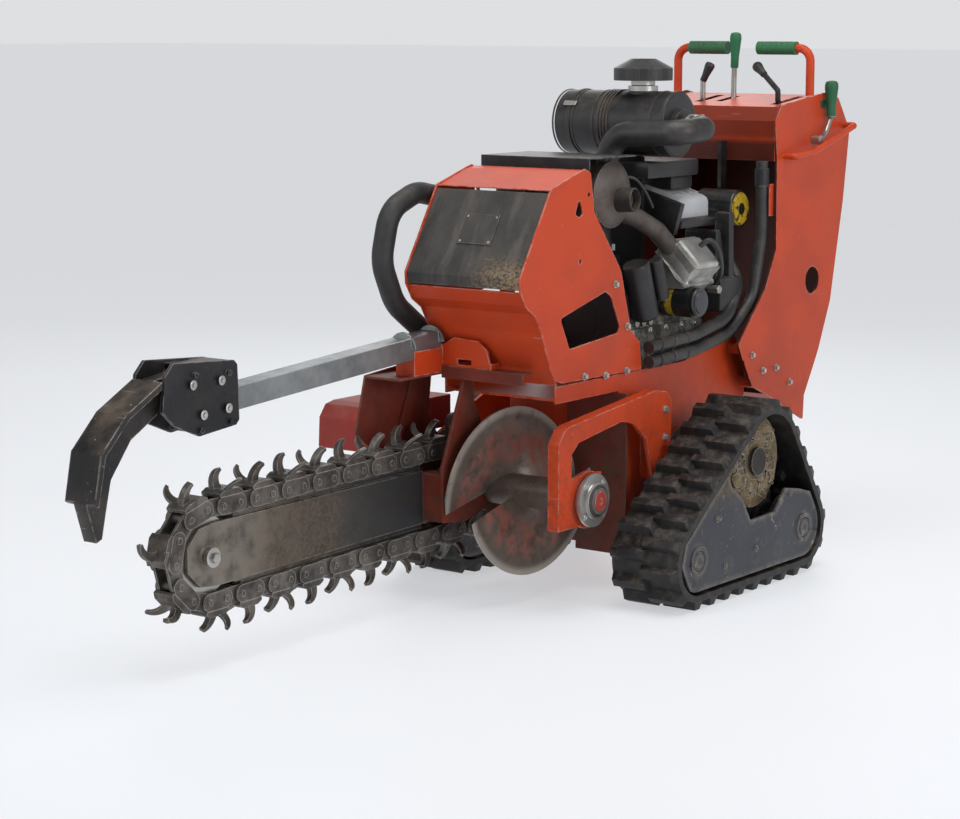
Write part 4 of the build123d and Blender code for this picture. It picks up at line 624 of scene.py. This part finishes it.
# ---------------------------------------------------------------- engine
def engine_covers():
    """Rocker covers, the grey fan cover with its black side, the shroud and the boxes beside it."""
    for side, name, y in ((1, "right", 0.541), (-1, "left", 0.467)):
        lean = Matrix.Rotation(math.radians(45 * side), 3, "Y")
        centre = Vector((0.159 * side, y, 0.769))
        bm = bmesh.new()
        block(bm, centre, (0.056, 0.062, 0.03), 0.009, 3, lean, 0.78)
        block(bm, centre - lean @ Vector((0, 0, 0.031)), (0.06, 0.066, 0.004), 0.0025, 2, lean)
        piece("rocker_cover_" + name, bm, "valve_cover_metal", "chassis")
        up = lean @ Z
        bolts("rocker_bolts_" + name, [(centre + lean @ Vector((a, b, -0.026)), up, 0.006)
                                       for a in (-0.052, 0.052) for b in (-0.056, 0.056)])
    bm = bmesh.new()
    lean = Matrix.Rotation(math.radians(16), 3, "Y")
    slab(bm, (-0.02, 0.535, 0.872), (0.128, 0.690, 0.93), 0.014, 3, lean, 0.86)
    for i in range(4):
        y = 0.565 + i * 0.032
        slab(bm, (0.0, y, 0.926), (0.098, y + 0.006, 0.936), 0.0015, 1, lean)
    piece("fan_cover", bm, "cover_grey", "chassis")
    bm = bmesh.new()
    slab(bm, (0.0, 0.512, 0.842), (0.136, 0.53, 0.922), 0.003, 2, lean)
    slab(bm, (0.112, 0.532, 0.842), (0.134, 0.69, 0.862), 0.003, 2, lean)
    slab(bm, (-0.075, 0.425, 0.965), (0.105, 0.655, 1.005), 0.006)
    slab(bm, (-0.05, 0.56, 0.93), (0.085, 0.66, 0.966), 0.008)
    piece("black_ducts", bm, "black_plastic", "chassis")
    bm = bmesh.new()
    slab(bm, (0.118, 0.704, 0.70), (0.168, 0.728, 0.872), 0.007, 3, None, 0.9)
    slab(bm, (0.11, 0.655, 0.628), (0.172, 0.748, 0.712), 0.006, 3)
    piece("shroud_band", bm, "black_plastic", "chassis")


def engine_trim():
    """Bolts, plugs, breather, starter and small pipes round the crankcase, and the oil filter's end."""
    spots = ((0.352, 0.52), (0.352, 0.60), (0.43, 0.60), (0.57, 0.6), (0.63, 0.6), (0.63, 0.52), (0.5, 0.6))
    bolts("crankcase_bolts", [((0.112, y, z), X, 0.006) for y, z in spots])
    bm = bmesh.new()
    turned(bm, [(0, 0), (0.017, 0), (0.017, 0.012), (0.013, 0.016), (0.008, 0.016), (0.007, 0.010), (0, 0.010)],
           (0.108, 0.405, 0.655), X, 28)
    turned(bm, [(0, 0), (0.011, 0), (0.011, 0.03), (0.009, 0.032), (0, 0.032)], (0.165, 0.61, 0.69), X, 6)
    for y in (0.36, 0.39, 0.42):
        disc(bm, (0.10, y, 0.625), X, 0.009, 0, 0.02, 16)
    piece("crankcase_plugs", bm, "bright_steel", "chassis")
    bm = bmesh.new()
    down = Vector((0, 0.35, -1)).normalized()
    turned(bm, [(0, -0.075), (0.03, -0.075), (0.033, -0.07), (0.033, 0.06), (0.028, 0.066), (0, 0.066)],
           (0.128, 0.362, 0.70), down, 32)
    disc(bm, (0.15, 0.405, 0.73), down, 0.017, -0.05, 0.05, 24)
    piece("starter", bm, "black_plastic", "chassis")
    bm = run([(0.184, 0.535, 0.80), (0.20, 0.545, 0.822), (0.212, 0.57, 0.80), (0.206, 0.60, 0.755),
              (0.185, 0.63, 0.715), (0.15, 0.64, 0.69)], 0.0068)
    piece("breather_hose", bm, "hose_rubber", "chassis")
    bm = run([(0.14, 0.43, 0.78), (0.17, 0.42, 0.76), (0.176, 0.45, 0.72), (0.17, 0.50, 0.705)], 0.0018, 3)
    piece("choke_cable", bm, "bright_steel", "chassis")
    bm = run([(0.07, 0.30, 0.96), (0.11, 0.33, 0.985), (0.13, 0.37, 0.95), (0.12, 0.42, 0.90)], 0.004, 4)
    piece("fuel_line", bm, "hose_rubber", "chassis")
    bm = bmesh.new()
    for place in ((0.199, 0.507, 0.668), (0.186, 0.507, 0.668)):
        turned(bm, [(0, 0.0), (0.034, 0.0), (0.036, 0.003), (0.034, 0.006), (0.0, 0.006)], place, X, 40)
    turned(bm, [(0, 0), (0.029, 0), (0.026, 0.004), (0, 0.0062)], (0.2058, 0.507, 0.668), X, 40)
    piece("oil_filter_end", bm, "hydraulic_cap", "chassis")


# ---------------------------------------------------------------- silencer, air cleaner and hoses
def silencer():
    """Dished end, rolled seam and outlet with its black bore."""
    bm = bmesh.new()
    turned(bm, [(0.074, -0.012), (0.0775, -0.008), (0.0775, 0.002), (0.072, 0.006), (0.058, 0.012), (0.04, 0.02),
                (0.03, 0.022), (0, 0.022)], (0.132, 0.2252, 0.941), X, 48)
    turned(bm, [(0.079, -0.003), (0.079, 0.003), (0.076, 0.003)], (-0.02, 0.2252, 0.941), X, 48)
    piece("silencer_end", bm, "hot_steel", "chassis")
    bm = bmesh.new()
    turned(bm, [(0.028, 0.0), (0.028, 0.042), (0.0255, 0.044), (0.0245, 0.042), (0.0245, 0.004), (0, 0.004)],
           (0.150, 0.2292, 0.929), Vector((1, 0.1, 0.05)).normalized(), 32)
    piece("silencer_outlet", bm, "soot", "chassis")


CLEANER = (0.4902, 1.095)      # y and z of the air cleaner's middle line
STEM_X = 0.045
CAP_TEETH = 16


def air_cleaner_trim():
    """Toggle clips, stem rings, body ribs, end cover, and the cap's teeth and button."""
    y, z = CLEANER
    bm = bmesh.new()
    for angle in (25, 145, 265):
        out = around(math.radians(angle))
        block(bm, Vector((-0.122, y, z)) + out * 0.082, (0.006, 0.018, 0.0025), 0.001, 1,
              out.to_track_quat("Z", "X").to_matrix())
    for outer, inner, height, foot in ((0.0362, 0.0345, 0.012, 0.078), (0.0292, 0.0272, 0.01, 0.092)):
        turned(bm, [(outer, 0.0), (outer, height), (inner, height), (inner, 0.0), (outer, 0.0)],
               (STEM_X, y, z + foot), Z, 36)
    piece("cleaner_clips", bm, "zinc_steel", "chassis")
    bm = bmesh.new()
    for x in (-0.166, -0.112, -0.052, 0.112, 0.144):
        turned(bm, [(0.0775, -0.002), (0.0795, -0.002), (0.0795, 0.002), (0.0775, 0.002)], (x, y, z), X, 56)
    turned(bm, [(0.0, 0.0), (0.066, 0.0), (0.066, 0.004), (0.05, 0.006), (0.05, 0.003), (0.0, 0.003)],
           (-0.165, y, z), -X, 56)
    for i in range(CAP_TEETH):
        angle = math.tau * i / CAP_TEETH
        out = Vector((math.cos(angle), math.sin(angle), 0))
        block(bm, Vector((STEM_X, y, z + 0.118)) + out * 0.0705, (0.0012, 0.004, 0.013), 0.0006, 1,
              out.to_track_quat("X", "Z").to_matrix())
    turned(bm, [(0, 0), (0.012, 0), (0.010, 0.006), (0, 0.006)], (STEM_X, y, z + 0.147), Z, 24)
    piece("cleaner_ribs", bm, "black_plastic", "chassis")


BAND_HALF_WIDTH = 0.0045
BAND_SHEET = 0.0012


def band(bm, place, axis, reach):
    """Flat clamp band round a hose, with its screw housing."""
    place, outer = Vector(place), reach + BAND_SHEET
    turned(bm, [(reach, -BAND_HALF_WIDTH), (outer, -BAND_HALF_WIDTH), (outer, BAND_HALF_WIDTH),
                (reach, BAND_HALF_WIDTH), (reach, -BAND_HALF_WIDTH)], place, axis, 36)
    out = axis.orthogonal().normalized()
    block(bm, place + out * (reach + 0.004), (0.005, 0.008, 0.004), 0.001, 1, out.to_track_quat("Z", "Y").to_matrix())


def hose_trim():
    """Clamp bands on the intake hose, ties round the low hoses and the union at the return filter."""
    bm = bmesh.new()
    band(bm, (0.2, 0.4902, 1.087), X, 0.0305)
    band(bm, (0.0, 0.3722, 0.80), Z, 0.0305)
    piece("hose_bands", bm, "bright_steel", "chassis")
    bm = bmesh.new()
    for y, low, high in ((0.36, 0.5426, 0.5778), (0.42, 0.5451, 0.5806), (0.48, 0.5475, 0.5833)):
        for z in (low, high):
            turned(bm, [(0.0155, -0.003), (0.0172, -0.0025), (0.0172, 0.0025), (0.0155, 0.003)],
                   (0.178, y, z), Y, 28)
    turned(bm, [(0, 0), (0.019, 0), (0.019, 0.04), (0.0165, 0.045), (0, 0.045)], (0.178, 0.8352, 0.93), Z, 24)
    piece("hose_ties", bm, "black_steel", "chassis")


# ---------------------------------------------------------------- shaft, tracks and digging end
def bearing_trim():
    """Bearing flange: four bolts, a pressed ring, a black seal and the painted end of the shaft."""
    y, z = SHAFT.y, SHAFT.z
    bolts("bearing_bolts", [(Vector((0.232, y, z)) + around(math.radians(45 + 90 * i)) * 0.05, X, 0.005)
                            for i in range(4)])
    bm = bmesh.new()
    turned(bm, [(0.041, 0.0), (0.043, 0.004), (0.041, 0.008), (0.037, 0.009), (0.035, 0.006), (0.035, 0.0)],
           (0.233, y, z), X, 48)
    piece("bearing_ring", bm, "bright_steel", "chassis")
    bm = bmesh.new()
    turned(bm, [(0.031, 0.0), (0.036, 0.0), (0.035, 0.004), (0.031, 0.005), (0.031, 0.0)], (0.2405, y, z), X, 40)
    piece("bearing_seal", bm, "black_plastic", "chassis")
    bm = bmesh.new()
    turned(bm, [(0.0, 0.0), (0.0225, 0.0), (0.0225, 0.003), (0.019, 0.0035), (0.008, 0.0035), (0.007, 0.002),
                (0.0, 0.002)], (0.2465, y, z), X, 40)
    piece("shaft_end", bm, "red_guard", "digging_shaft")


def track_trim():
    """Hub rings, bolts and dried soil on the track frames and the driving wheels."""
    for side, name in ((1, "right"), (-1, "left")):
        face = X * side
        spots = ((0.30, 0.082), (0.44, 0.10), (0.60, 0.21), (0.26, 0.2))
        bolts("track_bolts_" + name, [((0.410 * side, y, z), face, 0.0052) for y, z in spots], "slate_steel")
        bm = bmesh.new()
        for node in ("front_idler_", "rear_idler_"):
            wheel = middle(node + name)
            hub = (0.4105 * side, wheel.y, wheel.z)
            turned(bm, [(0.026, 0.0), (0.033, 0.0), (0.035, 0.0015), (0.035, 0.003), (0.031, 0.0035),
                        (0.026, 0.0025), (0.026, 0.0)], hub, face, 40)
            turned(bm, [(0.0, 0.0), (0.019, 0.0), (0.020, 0.001), (0.016, 0.0035), (0.0, 0.004)], hub, face, 32)
        piece("hub_rings_" + name, bm, "slate_steel", "chassis")
        mud(side, name)


LUMPS = 110
LUMP_GRAIN = 90
LUMP_FLATNESS = 0.5


def mud(side, name):
    """Lumps of dried soil packed between the driving wheel's rods and spokes."""
    centre = middle("sprocket_" + name)
    pick = random.Random(7 + side)
    bm = bmesh.new()
    for _ in range(LUMPS):
        angle = pick.uniform(0, math.tau)
        reach = pick.uniform(0.05, 0.1)
        size = pick.uniform(0.008, 0.021)
        place = Vector(((0.3625 + pick.uniform(-0.006, 0.003)) * side, centre.y + reach * math.cos(angle),
                        centre.z + reach * math.sin(angle)))
        spot = Matrix.Translation(place)
        for v in bmesh.ops.create_icosphere(bm, subdivisions=2, radius=size, matrix=spot)["verts"]:
            away = v.co - place
            v.co = place + away * (0.8 + 0.9 * noise.noise(v.co * LUMP_GRAIN))
            v.co.x = place.x + (v.co.x - place.x) * LUMP_FLATNESS
    piece("dried_soil_" + name, bm, "muddy_steel", "drive_sprocket_" + name)


def nose_trim():
    """The nose's axle bolt on its disc."""
    bm = bmesh.new()
    nose = middle("nose_roller")
    disc(bm, (-0.101, nose.y, nose.z), X, 0.018, 0.0, 0.003, 28)
    bolt(bm, (-0.099, nose.y, nose.z), X, 0.0125)
    piece("nose_bolt", bm, "bright_steel", "boom")


def cleaner_trim():
    """Four bolts on the outer plate of the trench cleaner's head."""
    low, high = [Vector(c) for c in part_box("crumber_head")]
    place = Vector((high.x, (low.y + high.y) / 2, (low.z + high.z) / 2))
    spots = ((-0.03, 0.03), (0.055, 0.03), (0.075, -0.03), (0.0, -0.035))
    bolts("cleaner_bolts", [(place + Vector((-0.0002, dy, dz)), X, 0.006) for dy, dz in spots], "zinc_steel", "boom")


def badge():
    """Four rivets on the plain front plate."""
    low, high = [Vector(c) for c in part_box("badge_plate")]
    lean = (high.y - low.y) / (high.z - low.z)
    out = Vector((0, -1, lean)).normalized()
    bm = bmesh.new()
    for x in (low.x + 0.008, high.x - 0.008):
        for share in (0.1, 0.9):
            z = low.z + (high.z - low.z) * share
            y = low.y + (high.y - low.y) * share
            turned(bm, [(0, 0), (0.004, 0), (0.003, 0.002), (0, 0.0026)], (x, y, z), out, 14)
    piece("badge_rivets", bm, "zinc_steel", "chassis")


def console_trim():
    """Orange tab at the console's front edge and a green slot plate by the side lever."""
    bm = bmesh.new()
    slab(bm, (0.196, 0.838, 0.855), (0.2, 0.872, 0.935), 0.0015, 2)
    piece("hose_guard_tab", bm, "orange_paint", "chassis")
    bm = bmesh.new()
    slab(bm, (0.2095, 1.07, 1.118), (0.2125, 1.12, 1.138), 0.001, 1)
    piece("direction_plate", bm, "green_plate", "chassis")


def details():
    """Every piece that the plain solids lack."""
    levers()
    engine_covers()
    engine_trim()
    silencer()
    air_cleaner_trim()
    hose_trim()
    bearing_trim()
    track_trim()
    nose_trim()
    cleaner_trim()
    badge()
    console_trim()


# ---------------------------------------------------------------- stage, light and camera
FLOOR_REACH = 90.0


def stage():
    """Wide pale floor that reaches the horizon."""
    bm = bmesh.new()
    bmesh.ops.create_grid(bm, x_segments=1, y_segments=1, size=FLOOR_REACH)
    data = bpy.data.meshes.new("floor")
    bm.to_mesh(data)
    bm.free()
    floor = bpy.data.objects.new("floor", data)
    bpy.context.scene.collection.objects.link(floor)
    recipe = Recipe("studio_floor", Emission_Color=(0.95, 0.97, 1.0, 1), Emission_Strength=0.52,
                    Specular_IOR_Level=0.2)
    shade = recipe.mix(recipe.noise(1.5, 3), (0.38, 0.39, 0.41, 1), (0.41, 0.42, 0.44, 1))
    data.materials.append(recipe.finish(shade, 0.5))


def softbox(name, place, target, size, power):
    """Rectangular lamp at place, turned to target."""
    lamp = bpy.data.lights.new(name, "AREA")
    lamp.shape = "RECTANGLE"
    lamp.size, lamp.size_y = size
    lamp.energy = power
    made = bpy.data.objects.new(name, lamp)
    made.location = place
    made.rotation_euler = (Vector(target) - Vector(place)).to_track_quat("-Z", "Y").to_euler()
    bpy.context.scene.collection.objects.link(made)


def lights():
    """Pale world that darkens upwards, and four softboxes round the machine."""
    world = bpy.data.worlds.new("studio")
    world.use_nodes = True
    tree = world.node_tree
    direction = tree.nodes.new("ShaderNodeTexCoord").outputs["Generated"]
    height = tree.nodes.new("ShaderNodeSeparateXYZ")
    tree.links.new(direction, height.inputs[0])
    fall = tree.nodes.new("ShaderNodeMapRange")
    for key, value in (("From Min", 0.12), ("From Max", 0.5), ("To Min", 0.76), ("To Max", 0.25)):
        fall.inputs[key].default_value = value
    tree.links.new(height.outputs["Z"], fall.inputs["Value"])
    back = tree.nodes["Background"]
    back.inputs["Color"].default_value = (0.97, 0.98, 1.0, 1)
    tree.links.new(fall.outputs["Result"], back.inputs["Strength"])
    bpy.context.scene.world = world
    target = (0.0, -0.2, 0.5)
    softbox("overhead", (0.6, -0.3, 4.4), target, (3.0, 3.0), 120)
    softbox("key", (-1.6, -4.6, 3.2), target, (2.0, 2.0), 48)
    softbox("side", (4.8, -0.2, 2.4), target, (2.0, 2.4), 66)
    softbox("rim", (-2.4, 3.4, 2.6), target, (2.4, 2.0), 30)


CAMERA_PLACE = (3.3547, -4.6267, 1.350)
CAMERA_TURN = (math.radians(90 - 8.934), 0.0, math.radians(36.6))


def camera():
    """Long lens from the front right, a little above the hood."""
    data = bpy.data.cameras.new("camera")
    data.lens = 93.75
    data.sensor_width = 36.0
    made = bpy.data.objects.new("camera", data)
    made.location = CAMERA_PLACE
    made.rotation_euler = CAMERA_TURN
    bpy.context.scene.collection.objects.link(made)
    bpy.context.scene.camera = made
    bpy.context.scene.view_settings.view_transform = "Standard"


camera()
stage()
lights()
finish_nodes()
details()
